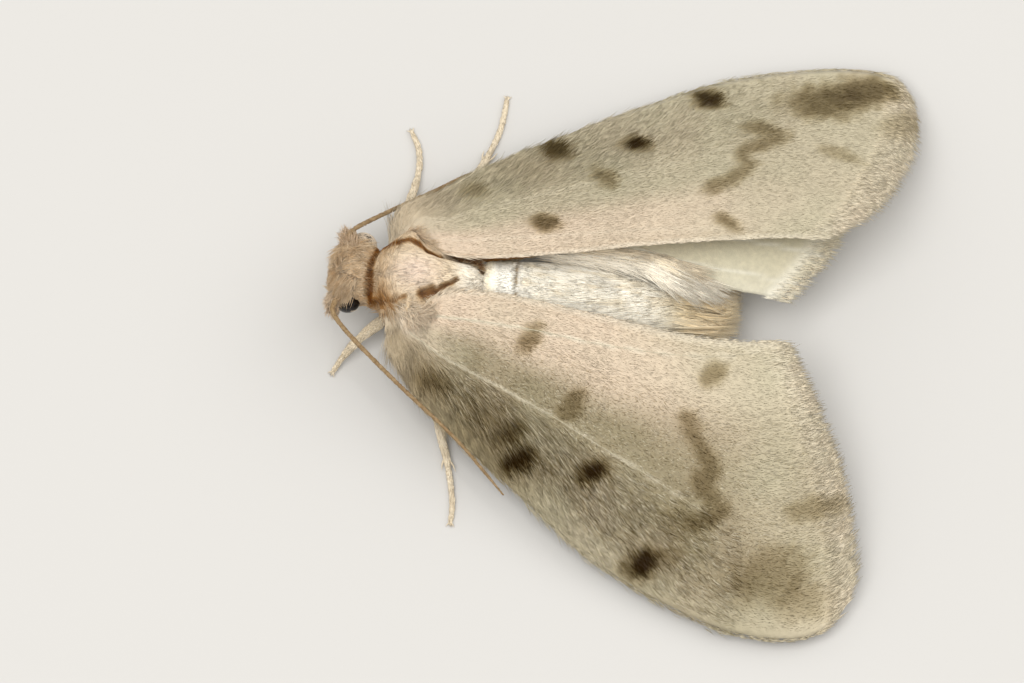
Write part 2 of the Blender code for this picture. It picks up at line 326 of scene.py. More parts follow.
def addCoat(name, surface, turn, settings, aimAt, marksAt, material, slot, seed):
    # roots drawn at random, evenly over the surface's area times dense, then grown and coloured
    rng = np.random.default_rng(seed)
    settings = {**plainHair, **settings}
    roots, dense, size, loose = (settings[title] for title in ("roots", "dense", "size", "loose"))
    tries = 5 * roots
    s, a = rng.uniform(*settings["s"], tries), rng.uniform(*settings["a"], tries)
    place, _, _, normal, area = frameOf(surface, s, a, turn)
    weight = area * (dense(s, a, place, normal) if dense else 1.0)
    kept = rng.choice(tries, roots, replace=False, p=weight / weight.sum())
    s, a, place, normal = s[kept], a[kept], place[kept], normal[kept]
    loose = loose(s, a, place) if loose else np.ones(roots)
    stray = rng.normal(0, settings["stray"], (roots, 3)) * loose[:, None]
    aim = aimAt(s, a, place, normal) + stray
    length = settings["length"] * np.broadcast_to(size(s, a, place) if size else 1.0, roots)
    points, faces, patch, hair, middle = growHairs(surface, turn, s, a, aim, length, loose, rng,
                                                  settings)
    per = patch.shape[1]
    # the tuft's patch stands at its root's place, a little in from the map's edges
    home = 0.04 + 0.92 * np.stack([s, a % 1.0], axis=-1)
    patch = np.repeat(home, settings["tuft"], axis=0)[:, None] + patchSize * patch
    # each hair takes the marks under its middle; some are darker or paler, most where it is thin
    middle = [part.ravel() for part in middle]
    marks = marksAt(*middle, surface(*middle))
    if settings["fine"]:
        # or every point of a hair its own marks, as over the creases
        marks, per = marksAt(0, 0, points), 1
        fleck = 0.2 * np.repeat(rng.normal(0, 1, len(middle[0])), patch.shape[1])
    else:
        fleck = (0.1 + marks[:, 1]) * rng.normal(0, 1, len(marks))
    fleck = settings["fleck"] * fleck
    marks[:, 0] = np.clip(marks[:, 0] + np.maximum(fleck, 0), 0, 1)
    marks[:, 1] = np.clip(marks[:, 1] - np.maximum(-fleck, 0) * 1.8, 0, 1)
    marks[:, 3] = np.clip(marks[:, 3] + np.maximum(-fleck, 0) * 0.5, 0, 1)
    marks = np.repeat(marks, per, axis=0)
    addPiece(name, points, [faces], material, slot, marks, hair, patch.reshape(-1, 2),
             smooth=settings["smooth"])


# ---- shader words

class Wire:
    # one output socket of a node; sums and products of wires add their Math nodes
    def __init__(self, tree, socket=None):
        self.tree, self.socket = tree, socket

    def node(self, kind, settings=None, sockets=None, out=0):
        # any node: its settings first, then its sockets' values or links
        made = self.tree.nodes.new("ShaderNode" + kind)
        for name, value in (settings or {}).items():
            setattr(made, name, value)
        for key, value in (sockets or {}).items():
            if isinstance(value, Wire):
                self.tree.links.new(value.socket, made.inputs[key])
            else:
                made.inputs[key].default_value = value
        return Wire(self.tree, made.outputs[out])

    def math(self, operation, a, b):
        return self.node("Math", {"operation": operation}, {0: a, 1: b})

    def channels(self, name):
        # the four numbers of a mesh attribute
        made = self.node("Attribute", {"attribute_name": name})
        split = self.node("SeparateColor", None, {0: made}).socket.node
        sockets = [*split.outputs, made.socket.node.outputs["Alpha"]]
        return [Wire(self.tree, socket) for socket in sockets]

    def __add__(self, other):
        return self.math("ADD", self, other)

    def __sub__(self, other):
        return self.math("SUBTRACT", self, other)

    def __rsub__(self, other):
        return self.math("SUBTRACT", other, self)

    def __mul__(self, other):
        return self.math("MULTIPLY", self, other)

    __radd__, __rmul__ = __add__, __mul__


def mixed(share, low, high, blend="MIX"):
    # colour low where share is 0 and high where it is 1
    made = share if isinstance(share, Wire) else (low if isinstance(low, Wire) else high)
    return made.node("Mix", {"data_type": "RGBA", "blend_type": blend},
                     {0: share, 6: low, 7: high}, out=2)


def shaded(tone, level):
    # the colour times a grey of the given level
    grey = tone.node("CombineColor", None, {0: level, 1: level, 2: level})
    return mixed(1.0, tone, grey, "MULTIPLY")


def colour(red, green, blue):
    # a screen colour of 0 to 255 turned to the light values that shaders use
    part = np.array([red, green, blue]) / 255
    light = np.where(part < 0.04045, part / 12.92, ((part + 0.055) / 1.055) ** 2.4)
    return (*[float(value) for value in light], 1.0)


def tones(*six):
    # a palette: the ground colour and those of the thin, warm, pale, dark and tinted places
    return dict(zip(("ground", "thin", "warm", "pale", "dark", "tint"), [colour(*t) for t in six]))


def newMaterial(name, roughness, sheen, specular=0.3):
    made = bpy.data.materials.new(name)
    made.use_nodes = True
    shader = made.node_tree.nodes["Principled BSDF"]
    shader.inputs["Roughness"].default_value = roughness
    shader.inputs["Specular IOR Level"].default_value = specular
    shader.inputs["Sheen Weight"].default_value = sheen
    shader.inputs["Sheen Roughness"].default_value = 0.4
    return made, shader, Wire(made.node_tree)


def plug(wire, shader, socket):
    wire.tree.links.new(wire.socket, shader.inputs[socket])


stain = colour(255, 238, 186)  # what the faint edges of dark marks are multiplied by


def markedColour(wires, palette, tint=0.0):
    # the ground colour, laid over in turn with the thin, warm and pale marks, tint, stain and dark
    dark, thin, warm, pale = wires.channels("marks")
    tone = mixed(thin, palette["ground"], palette["thin"])
    tone = mixed(warm, tone, palette["warm"])
    tone = mixed(pale, tone, palette["pale"])
    tone = mixed(dark, mixed(tint, tone, palette["tint"]), stain, "MULTIPLY")
    return mixed(dark, tone, palette["dark"])


def skinMaterial(name, palette, grain, depth, roughness=0.75, sheen=0.15, shade=0.9):
    # marks over the ground colour, mottled by noise, with a fine bump of stretched noise
    made, shader, wires = newMaterial(name, roughness, sheen)
    place = wires.node("TexCoord", None, None, out=3)
    mottle = wires.node("TexNoise", None, {"Vector": place, "Scale": grain, "Detail": 4.0})
    fine = wires.node("TexNoise", None, {"Vector": place, "Scale": grain * 6, "Detail": 3.0})
    tone = shaded(markedColour(wires, palette), shade * (0.78 + 0.44 * mottle))
    plug(tone, shader, "Base Color")
    bump = wires.node("Bump", None, {"Strength": 0.7, "Distance": depth,
                                     "Height": mottle * 0.4 + fine * 0.6})
    plug(bump, shader, "Normal")
    return made


def coatMaterial(name, palette, roughness=0.7, sheen=0.05, root=0.88, tip=1.06, vary=0.2):
    # marks over the ground colour; each hair has its own brightness, darker at the root
    made, shader, wires = newMaterial(name, roughness, sheen, specular=0.06)
    chance, along, second, _ = wires.channels("hair")
    tone = markedColour(wires, palette, (chance - 0.5) * 1.6 * vary)
    level = (root + (tip - root) * along) * (1 - vary * 0.5 + vary * second)
    plug(shaded(tone, level), shader, "Base Color")
    plug(0.12 * chance + (roughness - 0.06), shader, "Roughness")
    return made


def pairOfLooks(name, palette, grain, vary, coat="scales"):
    return (skinMaterial(name + " skin", palette, grain, 0.00001),
            coatMaterial(f"{name} {coat}", palette, vary=vary))


# ---- wings

# each wing's front edge, the outer edge between the corners, and the inner edge, with the depth of
# its camber, the side its upper face is on, and how strong its veins and shades are; each spot is
# place along and across, half length along, half width across and strength
wings = {
    "forewing_left": {
        "front": [(0.84, -0.8, 1.52), (1.34, -0.67, 1.4), (1.72, -0.39, 1.25),
                  (2.37, 0.11, 1.1), (3.84, 1.96, 0.75), (5.24, 3.74, 0.45), (6.24, 5.8, 0.34),
                  (6.52, 7.2, 0.34), (6.3, 8.19, 0.36), (5.46, 8.84, 0.46)],
        "outer": [(4.79, 8.93, 0.62), (3.18, 8.54, 1.15), (1.85, 7.9, 1.55)],
        "inner": [(0.56, -0.25, 1.92), (0.32, 0.2, 2.2), (0.22, 0.8, 2.28), (0.26, 1.73, 2.32),
                  (0.51, 3.43, 2.28), (0.78, 5.45, 2.1), (0.7, 7.27, 1.8)],
        "camber": 0.22, "turn": 1, "veins": 1.0, "base": 0.4, "thin": 1.15, "fleck": 0.32,
        "long": 3500, "spread": 1.0, "seed": 10,
        "spots": [
            (0.14, 0.2, 0.32, 0.22, 0.48), (0.31, 0.24, 0.2, 0.3, 0.66),
            (0.33, 0.13, 0.24, 0.28, 1.0), (0.32, 0.77, 0.18, 0.26, 0.62),
            (0.425, 0.53, 0.19, 0.3, 0.55), (0.48, 0.31, 0.24, 0.22, 1.0),
            (0.595, 0.1, 0.28, 0.32, 1.0), (0.64, 0.16, 0.22, 0.24, 0.35),
            (0.77, 0.86, 0.22, 0.2, 0.55), (0.91, 0.41, 0.55, 0.2, 0.4),
            (0.82, 0.21, 0.66, 0.48, 0.42), (0.87, 0.13, 0.46, 0.36, 0.3),
            (0.66, 0.3, 0.4, 0.3, 0.25),
        ],
        "zigzag": [(0.685, 0.67), (0.7, 0.6), (0.725, 0.52), (0.7, 0.46), (0.735, 0.39),
                   (0.69, 0.31)],
    },
    "forewing_right": {
        "front": [(-0.92, -0.84, 1.52), (-1.72, -0.65, 1.5), (-2.09, 0.1, 1.43),
                  (-2.66, 0.87, 1.32), (-3.56, 2.43, 1.0), (-4.41, 4.0, 0.67),
                  (-5.21, 5.8, 0.42), (-5.6, 7.8, 0.35), (-5.52, 9.02, 0.36),
                  (-4.88, 9.6, 0.5)],
        "outer": [(-4.2, 9.7, 0.76), (-3.42, 9.57, 1.1), (-2.16, 8.93, 1.85)],
        "inner": [(-0.84, -0.3, 1.8), (-0.6, 0.25, 2.08), (-0.47, 0.98, 2.28),
                  (-0.6, 2.56, 2.46), (-0.87, 4.35, 2.55), (-1.15, 6.53, 2.52),
                  (-1.31, 8.02, 2.42)],
        "camber": 0.22, "turn": -1, "veins": 0.2, "base": 0.1, "thin": 0.2, "fleck": 0.16,
        "long": 2200, "spread": 0.0, "seed": 20,
        "spots": [
            (0.185, 0.17, 0.24, 0.22, 0.4), (0.345, 0.08, 0.26, 0.3, 0.85),
            (0.31, 0.69, 0.26, 0.2, 0.78), (0.425, 0.41, 0.22, 0.28, 0.58),
            (0.485, 0.225, 0.26, 0.2, 0.97), (0.62, 0.07, 0.28, 0.28, 0.95),
            (0.71, 0.86, 0.22, 0.16, 0.7), (0.81, 0.17, 0.66, 0.42, 0.72),
            (0.88, 0.11, 0.56, 0.38, 0.78), (0.86, 0.45, 0.36, 0.16, 0.35),
            (0.95, 0.22, 0.3, 0.4, 0.28),
        ],
        "zigzag": [(0.69, 0.28), (0.745, 0.34), (0.685, 0.42), (0.7, 0.52), (0.645, 0.63)],
    },
    "hindwing_left": {
        "front": [(0.66, 0.4, 1.22), (1.7, 1.5, 1.0), (2.8, 3.1, 0.74), (3.8, 5.0, 0.54),
                  (4.25, 6.8, 0.46)],
        "outer": [(3.6, 7.45, 0.66), (2.4, 7.45, 0.96), (1.45, 6.95, 1.1)],
        "inner": [(0.64, 0.8, 1.22), (0.8, 2.2, 1.22), (0.82, 3.8, 1.26), (0.86, 5.2, 1.22),
                  (0.86, 6.2, 1.16)],
        "camber": 0.12, "turn": 1, "veins": 0.5, "roots": 5000, "seed": 30,
    },
    "hindwing_right": {
        "front": [(-0.74, 0.4, 1.22), (-1.75, 1.6, 1.05), (-2.85, 3.4, 0.78),
                  (-3.75, 5.5, 0.55), (-4.05, 7.0, 0.46)],
        "outer": [(-3.3, 7.95, 0.78), (-2.3, 8.25, 1.16), (-1.4, 8.1, 1.42)],
        "inner": [(-0.72, 0.8, 1.22), (-0.9, 2.2, 1.32), (-0.84, 3.78, 1.52),
                  (-0.5, 5.0, 1.58), (-0.29, 7.22, 1.25)],
        "camber": 0.12, "turn": -1, "veins": 0.5, "roots": 13000, "seed": 40,
    },
}
# veins as places along and across the wing, and how pale each shows
forewingVeins = [
    ([(0.0, 0.3), (0.25, 0.12), (0.55, 0.03)], 0.06),
    ([(0.0, 0.36), (0.2, 0.3), (0.45, 0.22), (0.62, 0.12), (0.8, 0.05)], 0.1),
    ([(0.45, 0.22), (0.7, 0.17), (0.98, 0.14)], 0.06),
    ([(0.5, 0.27), (0.75, 0.29), (0.98, 0.32)], 0.08),
    ([(0.45, 0.22), (0.5, 0.28), (0.52, 0.34), (0.5, 0.4)], 0.04),
    ([(0.52, 0.34), (0.75, 0.42), (0.98, 0.48)], 0.1),
    ([(0.52, 0.38), (0.75, 0.51), (0.98, 0.6)], 0.12),
    ([(0.48, 0.41), (0.75, 0.6), (0.98, 0.73)], 0.12),
    ([(0.36, 0.43), (0.6, 0.68), (0.98, 0.85)], 0.12),
    ([(0.0, 0.41), (0.2, 0.41), (0.38, 0.43), (0.55, 0.42), (0.72, 0.355)], 0.75),
    ([(0.0, 0.69), (0.3, 0.81), (0.45, 0.85), (0.75, 0.92), (0.98, 0.97)], 1.3),
]
hindwingVeins = [
    ([(0.0, 0.12), (0.5, 0.08), (0.95, 0.1)], 0.2),
    ([(0.0, 0.3), (0.5, 0.3), (0.97, 0.3)], 0.2),
    ([(0.3, 0.34), (0.6, 0.42), (0.97, 0.46)], 0.2),
    ([(0.3, 0.42), (0.6, 0.52), (0.97, 0.6)], 0.2),
    ([(0.0, 0.5), (0.4, 0.6), (0.97, 0.74)], 0.3),
    ([(0.0, 0.75), (0.5, 0.85), (0.97, 0.9)], 0.3),
]


def wingSurface(wing):
    # front edge blended across to the inner edge, plus the outer edge's bow times u, plus a camber
    # that is 4v(1 - v) across and the root of 4u(1 - u) along
    outer = [wing["front"][-1], *wing["outer"], wing["inner"][-1]]
    front, outer, inner = map(finePath, (wing["front"], outer, wing["inner"]))
    tipFront, tipInner = pathAt(front, 1.0), pathAt(inner, 1.0)

    def surface(u, v):
        u, v = np.broadcast_arrays(np.asarray(u, float), np.asarray(v, float))
        along, across = u[..., None], v[..., None]
        tip = tipFront * (1 - across) + tipInner * across
        place = pathAt(front, u) * (1 - across) + pathAt(inner, u) * across
        place = place + (pathAt(outer, v) - tip) * along
        arch = np.sqrt(np.clip(4 * u * (1 - u), 0.06, None))
        place[..., 2] += wing["camber"] * 4 * v * (1 - v) * arch
        return place

    return surface


def onWing(surface, places, count=14):
    # a line drawn on the wing through places given along and across it
    line = pathAt(finePath([(u, v, 0) for u, v in places]), np.linspace(0, 1, count))
    return surface(line[:, 0], line[:, 1])


def forewingMarks(wing, surface):
    # dark spots and a zigzag line, a thin grey middle, warm tints by the edge and pale veins
    spots = [(surface(u, v), *slopes(surface, u, v), *more) for u, v, *more in wing["spots"]]
    zigzag = onWing(surface, wing["zigzag"], 18)
    lines = [(onWing(surface, places), pale * wing["veins"]) for places, pale in forewingVeins]

    def marks(u, v, place):
        x, y = place[..., 0], place[..., 1]
        blur, wide, fine = drift(x, y, 0.16, 3), drift(x, y, 0.7, 4), drift(x, y, 0.05, 5)
        clear = 1.0
        for centre, slopeU, slopeV, along, across, strength in spots:
            p = ((place - centre) @ unit(slopeU)) / along
            q = ((place - centre) @ unit(slopeV)) / across
            far = 0.88 * np.sqrt(p * p + q * q) + 0.22 * blur + 0.12 * fine
            clear = clear * (1 - strength * ramp(far, 1.5, 0.45))
        band = ramp(nearest(place, zigzag) + 0.07 * blur + 0.03 * fine, 0.32, 0.03)
        clear = clear * (1 - 0.55 * band)
        # brownish shade between the long hairs of the front edge's inner half
        base = ramp(v, 0.46, 0.2) * ramp(v, -0.15, 0.04) * ramp(u, 0.5, 0.3)
        base = base * ramp(u, -0.03, 0.05)
        clear = clear * (1 - wing["base"] * base * (0.75 + 0.5 * wide))
        thin = ramp(v, 0.04, 0.2) * ramp(v, 0.8, 0.62) * ramp(u, 0.05, 0.22)
        thin = thin * (1 - 0.7 * ramp(u, 0.66, 0.86)) * (0.95 + 0.3 * wide)
        thin = wing["thin"] * (thin + 0.5 * ramp(v, 0.45, 0.1) * bell(u, 0.68, 0.16))
        warm = 0.12 + 0.1 * wide + 0.3 * ramp(u, 0.88, 0.985) * (0.6 + 0.5 * blur)
        warm = warm + 0.7 * ramp(v, 0.52, 0.74) * ramp(u, 0.92, 0.5) + 0.45 * ramp(u, 0.22, 0.05)
        pale = 0.0
        for line, strength in lines:
            near = ramp(nearest(place, line), 0.045, 0.01) * (1 - 0.6 * ramp(u, 0.42, 0.74))
            pale = np.maximum(pale, 0.6 * strength * near)
        # paler by the inner edge and at the inner root; paler before the fringe, partly its own
        # pale and partly painted light where the drooping edge is shaded
        pale = np.maximum.reduce([pale, 0.45 * ramp(v, 0.95, 0.99), 0.3 * ramp(u, 0.9, 0.95),
                                  0.3 * ramp(u, 0.1, 0.02) * ramp(v, 0.3, 0.6)])
        return asMarks(1 - clear, thin, warm, pale)

    return marks


def hindwingMarks(wing, surface):
    # nearly plain: painted brown shade at the inner root, a faint warmth by the edge, a pale line
    # before the fringe and pale veins
    lines = [(onWing(surface, places), pale) for places, pale in hindwingVeins]

    def marks(u, v, place):
        wide = drift(place[..., 0], place[..., 1], 0.6, 7)
        thin = 0.25 + 0.2 * wide
        warm = 0.08 + 0.2 * ramp(u, 0.9, 1.0) + 0.06 * wide
        pale = 0.25 * bell(u, 0.93, 0.02) + 0.15 * ramp(v, 0.8, 1.0)
        for line, strength in lines:
            pale = np.maximum(pale, strength * ramp(nearest(place, line), 0.05, 0.015))
        # painted brown shade at the inner root, where it lies in the hollow by the thorax
        dark = 0.9 * ramp(u, 0.24, 0.14) * ramp(v, 0.6, 0.85)
        return asMarks(dark, thin, warm, pale * (1 - dark))

    return marks


membrane = {"rows": 100, "columns": 56, "half": 0.014, "thicker": 0.012, "start": -0.03,
            "end": 0.965, "side": 0.012, "vein": 0.007, "veinLift": 0.022}


def addMembrane(name, wing, surface, marksAt, veins, material, slot):
    # the wing's own thin sheet, stopping short of the fringe, with a round thread along each vein
    u, v = np.meshgrid(
        np.linspace(membrane["start"], membrane["end"], membrane["rows"]),
        np.linspace(membrane["side"], 1 - membrane["side"], membrane["columns"]), indexing="ij")
    place, _, _, normal, _ = frameOf(surface, u, v, wing["turn"])
    thick = membrane["half"] + membrane["thicker"] * bell(v, 0.0, 0.02)
    sheet = shellMesh(place, normal, thick[..., None], wing["turn"])
    marks = marksAt(u, v, place).reshape(-1, 4)
    meshes, colours = [(sheet[0], [sheet[1]])], [marks, marks]
    for places, strength in veins:
        # the thread thins to its end, and stands as high over the sheet as the vein is pale
        u, v = pathAt(finePath([(*pair, 0) for pair in places]), np.linspace(0, 1, 60)).T[:2]
        line, _, _, up, _ = frameOf(surface, u, v, wing["turn"])
        lift = membrane["veinLift"] * strength * wing["veins"]
        sizes = [(at, share * membrane["vein"]) for at, share in ((0, 1), (0.7, 0.8), (1, 0.3))]
        tube = pathTube(finePath(line + lift * up, 2), sizes, 60, 6)[1]
        meshes.append(tube)
        made = np.zeros((len(tube[0]), 4))
        made[:, 3] = 0.2 * strength * wing["veins"]
        colours.append(made)
    points, faces = joined(meshes)
    addPiece(name + "_membrane", points, faces, material, slot, np.vstack(colours), stands=(name,))


wingTones = tones((193, 184, 156), (138, 127, 96), (220, 199, 174), (242, 232, 210), (44, 27, 0),
                  (240, 222, 206))
# the hindwing's dark tone is the painted brown shade at its inner root
hindTones = tones((204, 197, 170), (188, 181, 152), (236, 218, 190), (255, 253, 244),
                  (178, 122, 66), (255, 252, 240))
wingCoat = {
    "roots": 40000, "a": (0.0, 0.99), "length": 0.25, "width": 0.0175, "lift": (0.005, 0.035),
    "swing": 0.06, "stray": 0.07, "stand": 0.016, "flat": 0.14, "curl": 0.85, "fleck": 0.24,
    "smooth": False,
}
hindCoat = {**wingCoat, "length": 0.22, "width": 0.022, "stand": 0.008, "fleck": 0.04}
wingFringe = {
    "roots": 3800, "s": (0.9, 0.972), "length": 0.33, "width": 0.018,
    "lift": (-0.04, 0.08), "swing": 0.08, "stray": 0.1, "straight": True, "stand": 0.012,
    "fleck": 0.16,
}
# long hairs that spread from the wing's root towards its front edge
rootHair = {
    "tuft": 3, "s": (0.0, 0.76), "a": (0.0, 0.42), "length": 0.54, "width": 0.011,
    "lift": (0.02, 0.1), "swing": 0.09, "stray": 0.11, "radius": 0.035, "gather": 0.2,
    "stand": 0.02, "flat": 0.3, "curl": 0.8,
}
# short ones that lean over its inner edge
innerHair = {
    "roots": 1400, "s": (-0.02, 0.95), "a": (0.93, 0.995), "length": 0.4, "width": 0.015,
    "lift": (-0.05, 0.03), "swing": 0.05, "stray": 0.04, "straight": True, "stand": 0.016,
    "fleck": 0.1,
}


def leaning(surface, share):
    # an aim along the surface's first parameter, and by a share along its second
    def aim(s, a, place, normal):
        along, across = slopes(surface, s, a)
        return unit(along) + np.reshape(share(s, a), (-1, 1)) * unit(across)

    return aim


def addWing(name, wing, kind):
    veins, marksFor, (skin, hair, underHair), slot, coat, lean = kind
    surface, turn, seed = wingSurface(wing), wing["turn"], wing["seed"]
    marksAt = marksFor(wing, surface)
    addMembrane(name, wing, surface, marksAt, veins, skin, slot)

    def forward(lean):
        # along the wing, leaning towards the front edge near its root
        return leaning(surface, lambda u, v: -lean * ramp(v, 0.6, 0.2) * ramp(
            v, -0.02, 0.1) * ramp(u, 0.95, 0.55))

    def size(u, v, place):
        # long by the front edge's root, short in the granular middle
        thin = marksAt(u, v, place)[:, 1]
        return 1 + 0.6 * ramp(u, 0.45, 0.05) * ramp(v, 0.5, 0.1) - 0.4 * thin

    def loose(u, v, place):
        # ruffled in the middle, combed by the edges and on the outer third
        thin = marksAt(u, v, place)[:, 1]
        return 0.45 + 0.3 * ramp(v, 0.72, 0.5) + 5.0 * thin * ramp(v, 0.0, 0.25)

    roots = wing.get("roots", coat["roots"])
    plain = {**coat, "size": size, "loose": loose}
    half = {**plain, "roots": roots // 2}
    # the title of each coat, its side, settings, aim, look and place in the order of seeds
    coats = [
        ("coat_1", 1, {**half, "s": (-0.02, 0.5)}, forward(lean), hair, 0),
        ("coat_2", 1, {**half, "s": (0.5, 0.975)}, forward(lean), hair, 1),
        ("under_coat", -1, {**plain, "roots": roots // 6, "s": (-0.02, 0.985)}, forward(lean),
         underHair, 3),
        ("fringe", 1, wingFringe, forward(lean), hair, 4),
    ]
    if lean:
        inward = leaning(surface, lambda u, v: wing["spread"] * (0.12 + 0.4 * ramp(u, 0.3, 0.05)))
        shorter = lambda u, v, place: 1 - 0.55 * ramp(u, 0.05, 0.3)
        # the root's hairs are long at the root, short and sparse towards the wing's middle
        taper = lambda u, v, place: 1 - 0.55 * ramp(u, 0.2, 0.7)
        sparse = lambda u, v, place, normal: ramp(v, 0.44, 0.28) * (1 - 0.7 * ramp(u, 0.35, 0.75))
        coats += [
            ("inner_hair", 1, {**innerHair, "size": shorter}, inward, hair, 6),
            ("root_hair", 1, {**rootHair, "roots": wing["long"], "size": taper, "dense": sparse,
                              "fleck": wing["fleck"]}, forward(1.7 * lean), hair, 5),
        ]
    for title, side, settings, aim, look, order in coats:
        addCoat(f"{name}_{title}", surface, side * turn, settings, aim, marksAt, look, slot,
                seed + order)
    print(name, "done")


wingSkin = skinMaterial("wing skin", wingTones, 9000, 0.00003)
wingHair = coatMaterial("wing hair scales", wingTones, root=0.93, tip=1.04, vary=0.22, sheen=0.0)
wingUnderHair = coatMaterial("wing underside scales", {**wingTones, "dark": colour(110, 92, 66)})
hindSkin = skinMaterial("hindwing skin", hindTones, 9000, 0.00002)
hindHair = coatMaterial("hindwing scales", hindTones, roughness=0.6, sheen=0.3)

# veins, marks, looks, slot, coat, and how far the hairs lean towards the front edge
wingKinds = {
    "fore": (forewingVeins, forewingMarks, (wingSkin, wingHair, wingUnderHair), "wing_scales",
             wingCoat, 0.28),
    "hind": (hindwingVeins, hindwingMarks, (hindSkin, hindHair, hindHair), "hindwing_scales",
             hindCoat, 0.0),
}
for name, wing in wings.items():
    addWing(name, wing, wingKinds[name[:4]])


# ---- body

headCentre, headTurn = (-0.27, -1.47), np.radians(-10.0)
# the skin's sections: place along, middle across, height, half width, half height; they lie
# inside the part's solids by the depth of the coat
bodySections = [
    (-1.98, -0.27, 1.38, 0.05, 0.04), (-1.92, -0.27, 1.39, 0.34, 0.27),
    (-1.8, -0.27, 1.41, 0.52, 0.43), (-1.6, -0.27, 1.43, 0.61, 0.54),
    (-1.36, -0.27, 1.45, 0.62, 0.54), (-1.18, -0.25, 1.5, 0.57, 0.5),
    (-1.06, -0.15, 1.55, 0.56, 0.53), (-0.95, -0.11, 1.6, 0.6, 0.61),
    (-0.8, -0.1, 1.62, 0.63, 0.69), (-0.4, -0.1, 1.65, 0.66, 0.84),
    (0.0, -0.1, 1.64, 0.61, 0.8), (0.4, -0.1, 1.58, 0.5, 0.73),
    (0.72, -0.1, 1.6, 0.4, 0.57), (0.93, -0.11, 1.64, 0.33, 0.42),
    (1.04, -0.14, 1.52, 0.34, 0.38), (1.14, -0.17, 1.42, 0.49, 0.53),
    (1.4, -0.17, 1.36, 0.53, 0.56), (2.3, -0.17, 1.25, 0.6, 0.57),
    (3.6, -0.17, 1.08, 0.59, 0.52), (4.6, -0.17, 0.93, 0.53, 0.43),
    (5.1, -0.17, 0.87, 0.43, 0.33), (5.42, -0.17, 0.83, 0.28, 0.2),
    (5.55, -0.17, 0.81, 0.05, 0.04),
]
# the flap over each wing root: angle round the body in degrees, and how far it stands out
flaps = {"sides": ((29, 0.62), (151, 0.52)), "y": -0.4, "halfAngle": 15, "halfLength": 0.42}
segmentEnds = [1.73, 2.48, 3.14, 3.78, 4.4, 4.98]
# creases of the back as places across and along, with half width and how brown each is; the brown
# is partly the hair's own and partly painted shade in the groove
creases = {
    "collar": ([(-0.7, -1.03), (-0.49, -1.13), (-0.3, -1.18), (-0.09, -1.19), (0.21, -1.17),
                (0.53, -1.13)], 0.09, 0.95),
    "rightCleft": ([(-0.69, -1.02), (-0.73, -0.8), (-0.76, -0.43), (-0.71, -0.27),
                    (-0.57, -0.06), (-0.52, 0.18), (-0.53, 0.48), (-0.54, 0.74),
                    (-0.5, 0.99)], 0.085, 0.85),
    "notch": ([(-0.56, 0.8), (-0.46, 1.0), (-0.34, 1.05)], 0.1, 0.8),
    "leftCleft": ([(0.37, -1.12), (0.45, -0.86), (0.48, -0.65), (0.42, -0.46)], 0.07, 0.55),
    "hollow": ([(0.34, -0.12), (0.25, 0.1)], 0.15, 0.85),
    "hollowEnd": ([(0.25, 0.1), (0.1, 0.34), (-0.03, 0.55)], 0.07, 0.8),
}


def headTurned(place, share=1.0):
    # turned about the upright line through the head's centre by share of headTurn
    turn = headTurn * share
    x, y = place[..., 0] - headCentre[0], place[..., 1] - headCentre[1]
    made = place.copy()
    made[..., 0] = headCentre[0] + x * np.cos(turn) - y * np.sin(turn)
    made[..., 1] = headCentre[1] + x * np.sin(turn) + y * np.cos(turn)
    return made


def creased(place, blur=0.0):
    # the strongest crease at each place of the back: 1 along its line, 0 beyond its half width;
    # its brown is partly painted shade of the groove
    deep, brown = np.zeros(place.shape[:-1]), np.zeros(place.shape[:-1])
    for line, half, strength in creases.values():
        near = ramp(nearest(place[..., :2], np.array(line)) + blur, half, 0.25 * half)
        deep, brown = np.maximum(deep, near), np.maximum(brown, strength * near)
    top = ramp(place[..., 2], 1.2, 1.7)
    return deep * top, brown * top


bodyPath = finePath(bodySections)


def bodySurface(s, a):
    # ovals along the body, out by a flap over each wing root, in at creases and abdomen rings
    s, a = np.broadcast_arrays(np.asarray(s, float), np.asarray(a, float))
    y, middle, z, wide, high = np.moveaxis(pathAt(bodyPath, s), -1, 0)
    angle = 2 * np.pi * a
    swell = 1.0
    for degrees, rise in flaps["sides"]:
        swell = swell + rise * bell(y, flaps["y"], flaps["halfLength"]) * bell(
            np.degrees(angle) % 360, degrees, flaps["halfAngle"])
    for end in segmentEnds:
        swell = swell - 0.035 * bell(y, end, 0.035) + 0.012 * bell(y, end - 0.14, 0.12)
    around = np.stack([wide * np.cos(angle), 0 * y, high * np.sin(angle)], axis=-1)
    plain = around + np.stack([middle, y, z], axis=-1)
    swell = swell - 0.15 * creased(plain)[0]
    return headTurned(plain + around * (swell - 1)[..., None], ramp(y, -0.92, -1.25))


# the thin tone is the back's mauve, partly a painted sheen
bodyTones = tones((224, 206, 176), (216, 193, 174), (172, 132, 84), (255, 251, 240), (98, 52, 4),
                  (248, 236, 212))
creamTones = {**bodyTones, "ground": colour(244, 230, 192), "warm": colour(196, 164, 110)}


